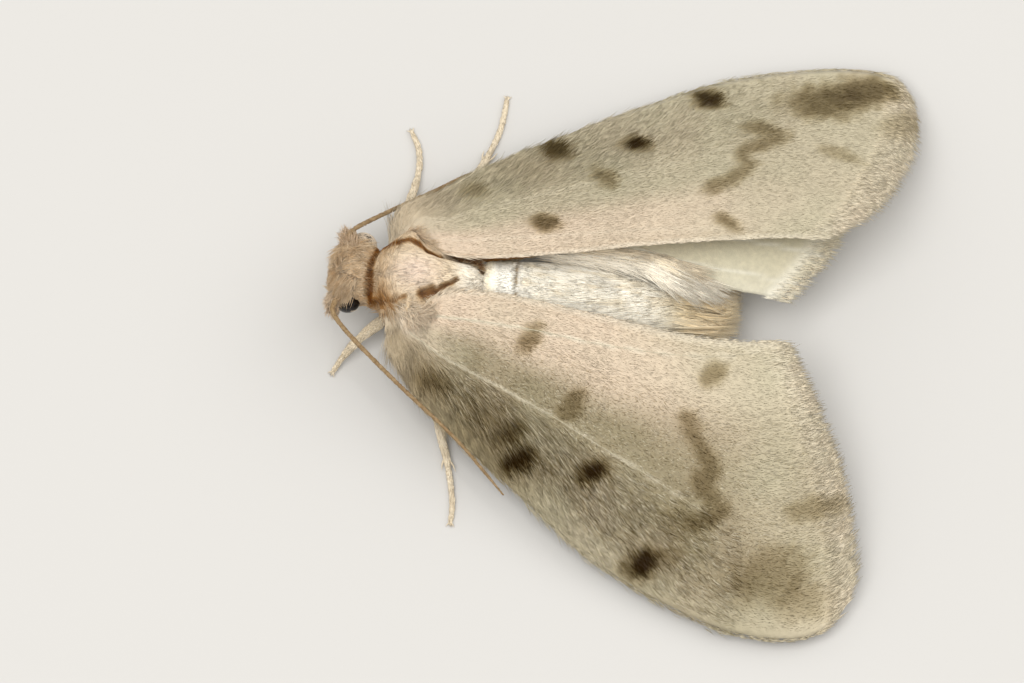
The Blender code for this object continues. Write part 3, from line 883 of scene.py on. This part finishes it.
def bodyMarks(s, a, place):
    # tan head and collar, mauve on the back with a painted sheen, white towards the waist, cream
    # abdomen with tan streaks, tan tail; brown in the creases (partly painted shade) and on the
    # left shoulder;
    # painted brown shade under the wing roots, and less white where the first ring catches the
    # light
    x, y, z = place[..., 0], place[..., 1], place[..., 2]
    wide, blur = drift(x, y * 0.25, 0.08, 21), drift(x, y, 0.08, 22)
    shoulder = bell(y, -0.8, 0.22) * bell(x, 0.62, 0.24) * ramp(z, 1.3, 1.8)
    head, abdomen, tail = ramp(y, -1.0, -1.15), ramp(y, 1.72, 1.9), ramp(y, 4.5, 5.3)
    front = bell(y, -0.98, 0.22) * (1 - head)
    aside = ramp(x, -0.05, 0.45)
    dark = np.maximum.reduce([
        # brown along the creases: partly the hair's own brown, partly painted shade of the grooves
        creased(place, 0.02 * blur)[1],
        0.42 * shoulder * (0.7 + 0.5 * blur),
        # the first ring's end
        0.65 * bell(y, 1.725, 0.03) * ramp(blur, -0.6, 0.3) * ramp(z, 1.2, 1.5),
        # under the waist, and its right side: painted brown shade beneath the wing roots, partly
        # the sides' own brown
        0.6 * ramp(z, 2.0, 1.8) * ramp(z, 1.0, 1.4) * ramp(y, 0.2, 0.5) * ramp(y, 1.04, 0.98),
        0.62 * ramp(x, -0.4, -0.55) * ramp(y, 0.05, 0.3) * ramp(y, 1.1, 1.02),
        (0.1 + 0.35 * aside) * front * ramp(z, 1.4, 1.9),
    ])
    warm = (0.5 + 0.1 * ramp(y, -1.65, -1.9)) * head * (1 + 0.4 * blur)
    # warmer wherever it is dark, the painted shade included
    warm = warm + (0.4 + 0.2 * aside) * front + 0.3 * shoulder + 0.8 * dark
    warm = warm + abdomen * (0.02 + 0.34 * ramp(wide, 0.1, 0.8)) * (1 - tail) + 0.5 * tail
    warm = warm + 0.3 * ramp(np.abs(x + 0.1), 0.35, 0.65) * (1 - abdomen) * (1 - head)
    # mauve on the top of the back: partly the scales' own colour, partly a painted sheen
    thin = 0.95 * bell(y, -0.3, 0.55) * bell(x, -0.1, 0.42)
    pale = ramp(y, 0.35, 0.75) * (1 - 0.9 * tail) * (1 - 0.35 * ramp(y, 1.04, 0.98))
    pale = pale * (1 - 0.15 * abdomen) + 0.4 * ramp(z, 1.3, 0.9) * (1 - pale)
    # less pale on the first ring's front slope: painted shade against the highlight the lamps lay
    # there
    pale = np.maximum(pale, 0.15 * thin) * (1 - 0.6 * bell(y, 1.16, 0.1))
    return asMarks(dark, thin, warm * (1 - 0.7 * thin), pale * (1 - warm))


def flapMarks(s, a, place):
    # cream hairs with tan streaks; brown at the front of the left shoulder
    x, y = place[..., 0], place[..., 1]
    blur = drift(x, y, 0.07, 24)
    front = ramp(y, -0.5, -0.85)
    left = ramp(x, -0.1, 0.1)
    dark = 0.34 * front * left * (0.6 + 0.8 * blur)
    warm = 0.24 + 0.36 * front * left + 0.4 * (1 - left) * ramp(y, -0.3, -0.9) + 0.25 * blur
    return asMarks(dark, 0.2, warm, 0.2 * left * (1 - front))


def addBodySkin():
    # the surface read on a grid, closed at the face and the tail
    rows, columns = 280, 96
    s, a = np.meshgrid(np.linspace(0, 1, rows), np.arange(columns) / columns, indexing="ij")
    place = bodySurface(s, a)
    marks = bodyMarks(s, a, place).reshape(-1, 4)
    addPiece("body_skin", *tubeMesh(place),
             skinMaterial("body skin", bodyTones, 12000, 0.00003, shade=0.8), "body_fur",
             np.vstack([marks, marks[:1], marks[-1:]]),
             stands=("head", "thorax", "abdomen", "tail_tuft", "tegula_left", "tegula_right"))


def turned(sideways, along, upward=0.0):
    # an aim that is the same everywhere, or follows functions of the place
    def aim(s, a, place, normal):
        parts = [part(place) if callable(part) else part for part in (sideways, along, upward)]
        return np.stack(np.broadcast_arrays(0.0 * place[:, 0], *parts)[1:], axis=1)

    return aim


def fromPoint(x, y, z, back=0.0):
    # away from a point, as the hairs of a tuft spread, and back by a share
    return lambda s, a, place, normal: unit(place - np.array([x, y, z])) + np.array([0, back, 0])


def headAim(s, a, place, normal):
    # forward and outward over the face, combed back over the crown
    x, y = place[:, 0] - headCentre[0], place[:, 1]
    back = ramp(y, -1.98, -1.8)[:, None]
    over = np.stack(np.broadcast_arrays(0.5 * x, 1.0, 0.0), 1)
    face = np.stack(np.broadcast_arrays(x, -1.0, -0.15), 1)
    return over * back + face * (1 - back)


def offEyes(s, a, place, normal):
    # no hair where an eye stands
    keep = np.ones(len(place))
    for centre, radius in eyes.values():
        keep *= ramp(np.linalg.norm(place - centre, axis=1), radius - 0.02, radius + 0.03)
    return keep


def byEye(s, a, place):
    # shorter round the left eye, so that it shows
    centre, radius = eyes["eye_left"]
    return 0.7 + 0.3 * ramp(np.linalg.norm(place - centre, axis=1), radius, radius + 0.4)


def shortOfFace(s, a, place):
    # no longer than what brings a hair to the face's front
    return np.clip((place[:, 1] + 2.14) / 0.64, 0.28, 1)


def offCreases(s, a, place, normal):
    # fewer hairs in the creases
    return 1 - 0.75 * creased(place)[0]


def eyeRoom(name):
    # middle and radius of an eye, from its node's box
    low, high = (np.array(corner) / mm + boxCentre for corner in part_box(name))
    return (low + high) / 2, (high - low).mean() / 2


eyes = {name: eyeRoom(name) for name in ("eye_left", "eye_right")}
bodyHair = {
    "tuft": 8, "rings": 2, "width": 0.019, "swing": 0.12, "stray": 0.16, "radius": 0.05,
    "gather": 0.5, "flat": 0.7, "lift": (0.0, 0.2), "fleck": 0.4, "stand": 0.01,
    "dense": offCreases, "fine": True,
}
faceHair = {"lift": (0.0, 0.4), "dense": offEyes, "swing": 0.2, "stray": 0.3, "straight": True,
            "width": 0.015}
flapHair = {"radius": 0.06, "straight": True, "width": 0.016}
backwards = turned(0.0, 1.0)
# each coat: roots, places along the body, shares of a turn, length, aim and what differs
bodyCoats = {
    "head_coat": (560, (-1.84, -1.13), (0, 1), 0.34, headAim, {
        "lift": (0.02, 0.34), "dense": offEyes, "swing": 0.18, "stray": 0.2, "width": 0.016,
        "gather": 0.3, "radius": 0.06, "size": byEye}),
    "face_coat": (270, (-1.97, -1.76), (0, 1), 0.42, headAim, {
        **faceHair, "lift": (0.2, 1.2), "curl": 0.3, "swing": 0.25, "stray": 0.45,
        "radius": 0.03, "width": 0.011, "gather": 0.05, "even": (0.5, 1.0),
        "size": shortOfFace}),
    "left_brow_coat": (150, (-1.72, -1.42), (0.03, 0.2), 0.27, turned(1.0, -0.4), {
        **faceHair, "tuft": 5, "lift": (0.8, 1.5), "curl": 0.45, "swing": 0.15, "stray": 0.16,
        "radius": 0.03, "width": 0.013, "gather": 0.1}),
    "left_horn_coat": (80, (-1.94, -1.8), (0.02, 0.16), 0.46, fromPoint(-0.1, -1.62, 1.5), {
        **faceHair, "width": 0.014, "even": (0.6, 1.0), "size": shortOfFace}),
    "right_horn_coat": (90, (-1.88, -1.5), (0.34, 0.49), 0.36, fromPoint(-0.4, -1.5, 1.4),
                        faceHair),
    "collar_coat": (210, (-1.1, -0.74), (0.02, 0.48), 0.28, turned(
        lambda place: np.sign(place[:, 0] + 0.07), 0.15), {"lift": (0.0, 0.22), "stray": 0.22}),
    "back_coat": (570, (-0.8, 0.62), (0.04, 0.46), 0.24, turned(
        lambda place: -0.5 * (place[:, 0] + 0.09), 1.0), {
        "width": 0.016, "lift": (0.0, 0.12), "curl": 0.9, "stray": 0.22}),
    "waist_coat": (150, (0.5, 0.97), (0.05, 0.45), 0.3, backwards, {}),
    "first_ring_coat": (1500, (1.05, 1.56), (0.0, 0.5), 0.2, backwards, {
        "tuft": 2, "rings": 1, "radius": 0.02, "lift": (0.0, 0.04), "stray": 0.06,
        "swing": 0.06, "fleck": 0.05, "flat": 0.6}),
    "second_ring_coat": (700, (1.74, 2.35), (0.0, 0.5), 0.2, backwards, {
        "tuft": 2, "rings": 1, "radius": 0.03, "lift": (0.0, 0.05), "stray": 0.1,
        "fleck": 0.2, "smooth": False, "flat": 0.2}),
    "abdomen_coat": (660, (1.72, 5.2), (-0.05, 0.55), 0.6, turned(
        lambda place: 0.2 * drift(place[:, 0], place[:, 1], 0.6, 31), 1.0), {
        "tuft": 9, "width": 0.017, "lift": (0.0, 0.08), "fleck": 0.5, "stray": 0.06,
        "swing": 0.07, "gather": 0.15, "flat": 0.4,
        "size": lambda s, a, place: 0.45 + 0.55 * ramp(place[:, 1], 1.75, 2.4)}),
    "under_coat": (700, (-0.95, 5.2), (0.5, 1.0), 0.26, backwards, {"tuft": 5, "rings": 1}),
    "left_flap_coat": (230, (-0.98, 0.05), (-0.02, 0.105), 0.46,
                       fromPoint(0.2, -0.72, 2.1, 0.25),
                       {**flapHair, "lift": (-0.1, 0.15), "stray": 0.24}),
    "right_flap_coat": (210, (-0.98, 0.25), (0.42, 0.52), 0.42,
                        fromPoint(-0.4, -0.65, 2.1, 0.55), {**flapHair, "lift": (-0.2, 0.06)}),
    "left_flap_side_coat": (110, (0.0, 0.98), (-0.02, 0.13), 0.32, turned(0.6, 1.0), {
        "lift": (0.0, 0.1), "straight": True, "stray": 0.15}),
    "right_side_coat": (150, (0.2, 1.0), (0.42, 0.55), 0.34, turned(-0.9, 0.8, 0.2), {
        "lift": (0.3, 0.9), "straight": True, "stray": 0.2}),
    "tail_coat": (230, (4.55, 5.49), (0, 1), 1.0, turned(
        lambda place: 0.22 * (place[:, 0] + 0.17) / 0.4, 1.0,
        lambda place: -0.1 * (place[:, 2] - 0.85)), {
        "tuft": 10, "lift": (0.0, 0.08), "straight": True, "even": (0.93, 1.0), "stray": 0.05,
        "swing": 0.06, "stand": -0.01,
        "size": lambda s, a, place: np.clip(6.34 - place[:, 1], 0.4, 1.6)}),
}


def addBody():
    addBodySkin()
    hair = coatMaterial("body hair", bodyTones, vary=0.3, root=0.95, sheen=0.1)
    abdomenHair = coatMaterial("abdomen hair", creamTones, vary=0.12, root=1.0)
    tailHair = coatMaterial("tail hair", creamTones, vary=0.4, root=1.0, tip=1.1, sheen=0.1)
    for number, (name, (roots, y, a, length, aim, more)) in enumerate(bodyCoats.items()):
        s = tuple(np.interp(np.array(y), bodyPath[1][:, 0], bodyPath[0]))
        settings = {**bodyHair, "roots": roots, "s": s, "a": a, "length": length, **more}
        tail = name == "tail_coat"
        marksAt = flapMarks if "flap" in name else bodyMarks
        look = tailHair if tail else abdomenHair if "ring" in name or "abdomen" in name else hair
        addCoat(name, bodySurface, 1, settings, aim, marksAt, look,
                "tail_fur" if tail else "body_fur", 50 + number)
    print("body done")


addBody()


# ---- long hairs of the hindwings' inner margins, lying over the abdomen

def marginMarks(warm, pale):
    # streaks of the given warmth
    def marks(s, a, place):
        blur = drift(place[..., 0], 0.3 * place[..., 1], 0.05, 33)
        return asMarks(0.0, 0.3, warm * (1 + 0.8 * blur), pale)

    return marks


marginCoat = {
    "tuft": 6, "rings": 2, "width": 0.017, "lift": (0.02, 0.1), "swing": 0.06, "stray": 0.07,
    "radius": 0.04, "gather": 0.4, "flat": 0.6, "straight": True, "fleck": 0.12, "stand": 0.02,
}
# roots, places along and across the wing, length, how far inward they lean, warmth and paleness
marginBands = {
    "hindwing_right_white_hair": (300, (0.18, 0.64), (0.92, 1.0), 1.15, 0.22, 0.2, 0.7),
    "hindwing_right_brown_hair": (130, (0.26, 0.6), (0.86, 0.92), 1.0, 0.2, 0.3, 0.35),
    "hindwing_left_white_hair": (200, (0.26, 0.72), (0.93, 1.0), 0.9, 0.3, 0.1, 0.8),
}


def addMarginHair():
    hair = coatMaterial("margin hair", creamTones, vary=0.3, root=1.0, sheen=0.2)
    for number, (name, band) in enumerate(marginBands.items()):
        roots, s, a, length, inward, warm, pale = band
        wing = wings[name.rsplit("_", 2)[0]]
        surface = wingSurface(wing)
        addCoat(name, surface, wing["turn"],
                {**marginCoat, "roots": roots, "s": s, "a": a, "length": length},
                leaning(surface, lambda u, v: inward), marginMarks(warm, pale), hair, "body_fur",
                110 + number)
    print("margin hair done")


addMarginHair()


# ---- eyes

eyeHair = {
    "tuft": 2, "rings": 3, "width": 0.013, "lift": (0.0, 0.1), "swing": 0.05, "stray": 0.12,
    "radius": 0.01, "flat": 0.6, "stand": 0.012, "fleck": 0.1, "length": 0.28,
}
# where the hairs' circles are centred on each eye, the shares of pole angle they fill, their
# number, and the way from the eye's middle that has them
eyeRings = {
    "eye_left": ((0.75, -0.45, 0.45), (0.18, 0.36), 4, (0.5, -0.2, 0.8)),
    "eye_right": ((-0.35, 0.1, 0.93), (0.1, 0.6), 200, (0.0, 0.2, 1.0)),
}


def ballSurface(centre, radius, pole):
    # a ball read by the share of half a turn from its pole, and the share of a turn round it
    pole = unit(np.array(pole))
    first = unit(np.cross(pole, np.array([0.3, 1.0, 0.2])))
    second = np.cross(pole, first)

    def surface(s, a):
        down, around = np.pi * np.asarray(s, float), 2 * np.pi * np.asarray(a, float)
        down, around = np.broadcast_arrays(down[..., None], around[..., None])
        return centre + radius * (np.cos(down) * pole + np.sin(down) * (
            np.cos(around) * first + np.sin(around) * second))

    return surface


def eyeMaterial():
    # nearly black and glossy, with a fine bump of facets
    made, shader, wires = newMaterial("eye", 0.16, 0.0, specular=0.15)
    shader.inputs["Coat Weight"].default_value = 0.3
    shader.inputs["Coat Roughness"].default_value = 0.08
    place = wires.node("TexCoord", None, None, out=3)
    facets = wires.node("TexVoronoi", {"feature": "DISTANCE_TO_EDGE"},
                        {"Vector": place, "Scale": 42000.0})
    cloud = wires.node("TexNoise", None, {"Vector": place, "Scale": 6000.0, "Detail": 2.0})
    plug(mixed(cloud, colour(8, 7, 6), colour(30, 22, 16)), shader, "Base Color")
    bump = wires.node("Bump", None, {"Strength": 0.5, "Distance": 0.000004, "Height": facets})
    plug(bump, shader, "Normal")
    return made


def addEyes():
    glass, hair = eyeMaterial(), coatMaterial("eye hair", bodyTones, vary=0.3)
    s, a = np.meshgrid(np.linspace(0.015, 0.985, 28), np.arange(40) / 40, indexing="ij")
    for number, (name, (centre, radius)) in enumerate(eyes.items()):
        pole, ringS, roots, way = eyeRings[name]
        centre = centre + np.array([-0.03, -0.04, 0.0]) * (name == "eye_left")
        surface = ballSurface(centre, radius, pole)
        addPiece(name + "_ball", *tubeMesh(surface(s, a)), glass, "eye", stands=(name,))
        # hairs lie along their circles, and stand only on the side that way points to
        aim = lambda s, a, place, normal: surface(s, a + 0.01) - surface(s, a - 0.01)
        dense = lambda s, a, place, normal: ramp(normal @ unit(np.array(way)), 0.1, 0.6)
        addCoat(name + "_hair", surface, 1,
                {**eyeHair, "roots": roots, "s": ringS, "dense": dense}, aim,
                marginMarks(0.3, 0.25), hair, "body_fur", 120 + number)
    print("eyes done")


addEyes()


# ---- legs, antennae, palps and the tufts at the antennae's roots

limbTones = tones((232, 218, 190), (214, 198, 168), (196, 162, 120), (246, 240, 224),
                  (110, 84, 54), (248, 240, 222))
hornTones = tones((142, 116, 80), (122, 96, 64), (164, 130, 86), (208, 188, 154), (84, 60, 34),
                  (194, 170, 132))


def limbMarks(dark, warm, seed):
    # mottled, browner and darker by the given shares
    def marks(s, a, place):
        blur = drift(place[..., 0], place[..., 1], 0.12, seed)
        wide = drift(place[..., 1], place[..., 2], 0.3, seed + 1)
        return asMarks(dark * ramp(blur, 0.0, 0.8), 0.3 + 0.3 * wide, warm * (0.8 + 0.4 * blur),
                       0.2 + 0.2 * blur)

    return marks


def addLimb(name, points, sizes, rows, materials, slot, marksAt, coat, seed, node=None, more=(),
            rings=0, bulge=0.0):
    # a tube along the points with any small tubes joined to it, and a coat down its length
    surface, tube = pathTube(finePath(points), sizes, rows, 14, rings, bulge)
    tips = [pathTube(finePath(line), thick, 10, 8)[1] for line, thick in more]
    points, faces = joined([tube, *tips])
    addPiece(name, points, faces, materials[0], slot, marksAt(0, 0, points),
             stands=(node,) if node else ())
    aim = lambda s, a, place, normal: unit(surface(s + 0.01, a) - surface(s - 0.01, a))
    addCoat(name + "_coat", surface, 1, coat, aim, marksAt, materials[1], slot, seed)


# middle lines from the hip out to the last toe joint
legs = {
    "leg_front_left": [(0.22, -0.7, 0.96), (0.36, -0.86, 0.62), (0.72, -1.3, 0.46),
                       (1.06, -1.62, 0.26), (1.38, -1.84, 0.075)],
    "leg_front_right": [(-0.26, -0.66, 0.98), (-0.44, -0.78, 0.66), (-1.2, -0.74, 0.56),
                        (-2.11, -0.54, 0.34), (-2.86, -0.38, 0.13), (-3.43, -0.39, 0.06),
                        (-3.86, -0.58, 0.055)],
    "leg_middle_left": [(0.26, -0.06, 0.92), (0.46, 0.02, 0.62), (1.4, 0.15, 0.52),
                        (2.52, 0.39, 0.26), (3.11, 0.57, 0.12), (3.91, 0.72, 0.06),
                        (4.42, 0.71, 0.055)],
    "leg_middle_right": [(-0.3, -0.02, 0.92), (-0.52, 0.06, 0.62), (-1.6, 0.35, 0.44),
                         (-2.6, 0.64, 0.2), (-3.25, 0.95, 0.12), (-3.96, 1.22, 0.06),
                         (-4.7, 1.33, 0.055)],
    "leg_hind_left": [(0.2, 0.6, 0.98), (0.36, 0.72, 0.66), (1.5, 2.2, 0.42),
                      (2.2, 3.8, 0.24), (2.5, 5.1, 0.07), (2.6, 6.26, 0.055)],
    "leg_hind_right": [(-0.28, 0.6, 0.98), (-0.44, 0.72, 0.66), (-1.55, 2.3, 0.44),
                       (-2.2, 4.0, 0.24), (-2.5, 5.4, 0.07), (-2.65, 6.56, 0.055)],
}
# the radius at shares of the length
shortLeg = [(0, 0.15), (0.12, 0.14), (0.22, 0.1), (0.3, 0.12), (0.48, 0.09), (0.52, 0.075),
            (0.62, 0.09), (0.76, 0.07), (0.8, 0.05), (0.97, 0.045), (1, 0.025)]
longLeg = [(0, 0.15), (0.08, 0.13), (0.12, 0.09), (0.22, 0.12), (0.4, 0.085), (0.43, 0.07),
           (0.55, 0.088), (0.7, 0.07), (0.73, 0.052), (0.8, 0.058), (0.9, 0.052),
           (0.97, 0.045), (1, 0.025)]
spursOf = {"front": (), "middle": (0.68,), "hind": (0.58, 0.74)}
legCoat = {
    "roots": 1150, "s": (0.03, 0.985), "length": 0.13, "width": 0.028, "lift": (0.05, 0.22),
    "stray": 0.14, "fleck": 0.15,
}


def clawsAndSpurs(points, spurs):
    # two small hooks at the toe, and pairs of thin spurs on the shin
    path = finePath(points)
    toe, made = pathAt(path, 0.985), []
    ahead = unit(toe - pathAt(path, 0.93))
    across = unit(np.cross(ahead, (0, 0, 1.0)))
    for side in (-1, 1):
        hook = [toe, toe + 0.05 * ahead + side * 0.05 * across + np.array([0, 0, 0.01]),
                toe + 0.09 * ahead + side * 0.08 * across - np.array([0, 0, 0.035])]
        made.append((hook, [(0, 0.018), (1, 0.004)]))
        for place in spurs:
            root, later = pathAt(path, place), pathAt(path, place + 0.05)
            along = unit(later - root)
            tip = root + 0.3 * along + side * 0.14 * across - np.array([0, 0, 0.02])
            made.append(([root, (root + tip) / 2 + side * 0.03 * across, tip],
                         [(0, 0.026), (0.6, 0.018), (1, 0.004)]))
    return made


legLooks = pairOfLooks("leg", limbTones, 14000, 0.35)
for number, (name, points) in enumerate(legs.items()):
    sizes = shortLeg if name == "leg_front_left" else longLeg
    addLimb(name + "_slim", points, sizes, 90, legLooks, "leg_scales",
            limbMarks(0.15, 0.25, 60 + number), legCoat, 70 + number, name,
            clawsAndSpurs(points, spursOf[name.split("_")[1]]))
print("legs done")

antennae = {
    "antenna_left": [(0.2, -1.72, 1.6), (0.46, -1.86, 1.78), (0.72, -1.86, 1.84),
                     (1.2, -1.47, 1.88), (2.13, -0.45, 1.8), (2.83, 0.41, 1.65),
                     (3.31, 0.96, 1.5), (4.06, 1.74, 1.13)],
    "antenna_right": [(-0.66, -1.58, 1.62), (-0.84, -1.66, 1.8), (-1.06, -1.58, 1.86),
                      (-1.5, -1.07, 1.54), (-1.86, -0.64, 1.2), (-2.3, 0.0, 0.95),
                      (-2.76, 0.72, 0.78), (-3.0, 1.6, 0.64), (-3.04, 2.28, 0.52)],
}
antennaSizes = [(0, 0.06), (0.04, 0.065), (0.075, 0.05), (0.1, 0.04), (0.13, 0.042),
                (0.5, 0.036), (0.9, 0.027), (1, 0.012)]
antennaCoat = {
    "roots": 1900, "s": (0.05, 0.99), "length": 0.08, "width": 0.018, "lift": (0.05, 0.35),
    "fleck": 0.3,
}
hornLooks = pairOfLooks("antenna", hornTones, 16000, 0.4)
for number, (name, points) in enumerate(antennae.items()):
    addLimb(name + "_slim", points, antennaSizes, 330, hornLooks, "antenna",
            limbMarks(0.3, 0.3, 80 + number), antennaCoat, 90 + number, name, rings=62,
            bulge=0.16)

palpLine = [(0.22, -1.45, 1.02), (0.25, -1.63, 0.7), (0.24, -1.81, 0.66), (0.22, -1.95, 0.8)]
palpSizes = [(0, 0.09), (0.3, 0.11), (0.6, 0.09), (0.75, 0.05), (1, 0.03)]
tuftCoat = {
    "roots": 220, "tuft": 4, "rings": 2, "s": (0.1, 0.95), "length": 0.2, "width": 0.018,
    "lift": (0.1, 0.5), "swing": 0.12, "radius": 0.02, "gather": 0.4, "flat": 0.6, "fleck": 0.15,
}
for name, side in (("palp_left", 1), ("palp_right", -1)):
    line = np.array([(headCentre[0] + side * x, y, z) for x, y, z in palpLine])
    addLimb(name + "_slim", headTurned(line), palpSizes, 40, legLooks, "leg_scales",
            limbMarks(0.1, 0.5, 95), tuftCoat, 100 + side, name)
# lobes of hair at the antennae's roots: line, length of hair and number of tufts
rootLobes = {
    "antenna_left_tuft": ([(0.16, -1.84, 1.58), (0.38, -1.9, 1.6), (0.6, -1.88, 1.6)], 0.2, 190),
    "antenna_right_tuft": ([(-0.6, -1.5, 1.62), (-0.78, -1.6, 1.74), (-0.94, -1.68, 1.76)],
                           0.26, 190),
}
lobeSizes = [(0, 0.06), (0.35, 0.08), (0.75, 0.08), (1, 0.02)]
lobeLooks = pairOfLooks("lobe", bodyTones, 12000, 0.4, coat="hair")
for number, (name, (points, length, roots)) in enumerate(rootLobes.items()):
    addLimb(name, points, lobeSizes, 24, lobeLooks, "body_fur", marginMarks(0.45, 0.1),
            {**tuftCoat, "length": length, "roots": roots, "s": (0.0, 1.0), "lift": (0.3, 1.0),
             "stray": 0.5, "width": 0.015, "straight": True}, 130 + number)
print("limbs done")


# ---- floor, lights, camera

def addFloor():
    # one square of 0.8 m, a hair below the feet
    half, drop = 0.4, 0.000002
    mesh = bpy.data.meshes.new("floor")
    corners = [(-half, -half, -drop), (half, -half, -drop), (half, half, -drop),
               (-half, half, -drop)]
    mesh.from_pydata(corners, [], [(0, 1, 2, 3)])
    made, shader, _ = newMaterial("floor", 0.9, 0.0, specular=0.2)
    shader.inputs["Base Color"].default_value = colour(198, 196, 192)
    mesh.materials.append(made)
    floor = bpy.data.objects.new("floor", mesh)
    bpy.context.scene.collection.objects.link(floor)


lights = {
    # place, aimed at the model's middle, side of the square and power
    "key": ((0.06, -0.06, 0.3), 0.24, 0.78), "fill": ((-0.08, 0.18, 0.24), 0.3, 0.32),
}


def addLight(name, place, side, power):
    lamp = bpy.data.lights.new(name, "AREA")
    lamp.size, lamp.energy = side, power
    thing = bpy.data.objects.new(name, lamp)
    thing.location = place
    thing.rotation_euler = (-Vector(place)).to_track_quat("-Z", "Y").to_euler()
    bpy.context.scene.collection.objects.link(thing)


# degrees off straight down and of turn, what it looks at, how far off it is, and its lens
view = {"lean": 18.0, "roll": 3.5, "aim": (0.427, 1.719, -0.139), "distance": 228.69, "lens": 400}


def addCamera():
    # looks at aim from the model's left side
    lean, roll = np.radians(view["lean"]), np.radians(view["roll"])
    back = np.array([np.sin(lean), 0, np.cos(lean)])
    lateral = np.array([np.cos(lean), 0, -np.sin(lean)])
    right = np.cos(roll) * np.array([0, 1.0, 0]) - np.sin(roll) * lateral
    up = -(np.sin(roll) * np.array([0, 1.0, 0]) + np.cos(roll) * lateral)
    data = bpy.data.cameras.new("camera")
    data.lens, data.sensor_width = view["lens"], 36
    camera = bpy.data.objects.new("camera", data)
    stand = Matrix([[*row] for row in np.stack([right, up, back], axis=1)]).to_4x4()
    stand.translation = ((np.array(view["aim"]) - boxCentre) + back * view["distance"]) * mm
    camera.matrix_world = stand
    bpy.context.scene.collection.objects.link(camera)
    bpy.context.scene.camera = camera


def addWorld():
    # an even, faintly warm light all round
    world = bpy.data.worlds.new("world")
    world.use_nodes = True
    background = world.node_tree.nodes["Background"]
    background.inputs["Color"].default_value = colour(246, 244, 241)
    background.inputs["Strength"].default_value = 0.7
    bpy.context.scene.world = world
    bpy.context.scene.view_settings.view_transform = "Standard"


addFloor()
for name, (place, side, power) in lights.items():
    addLight(name, place, side, power)
addWorld()
addCamera()
print("floor, lights and camera done")
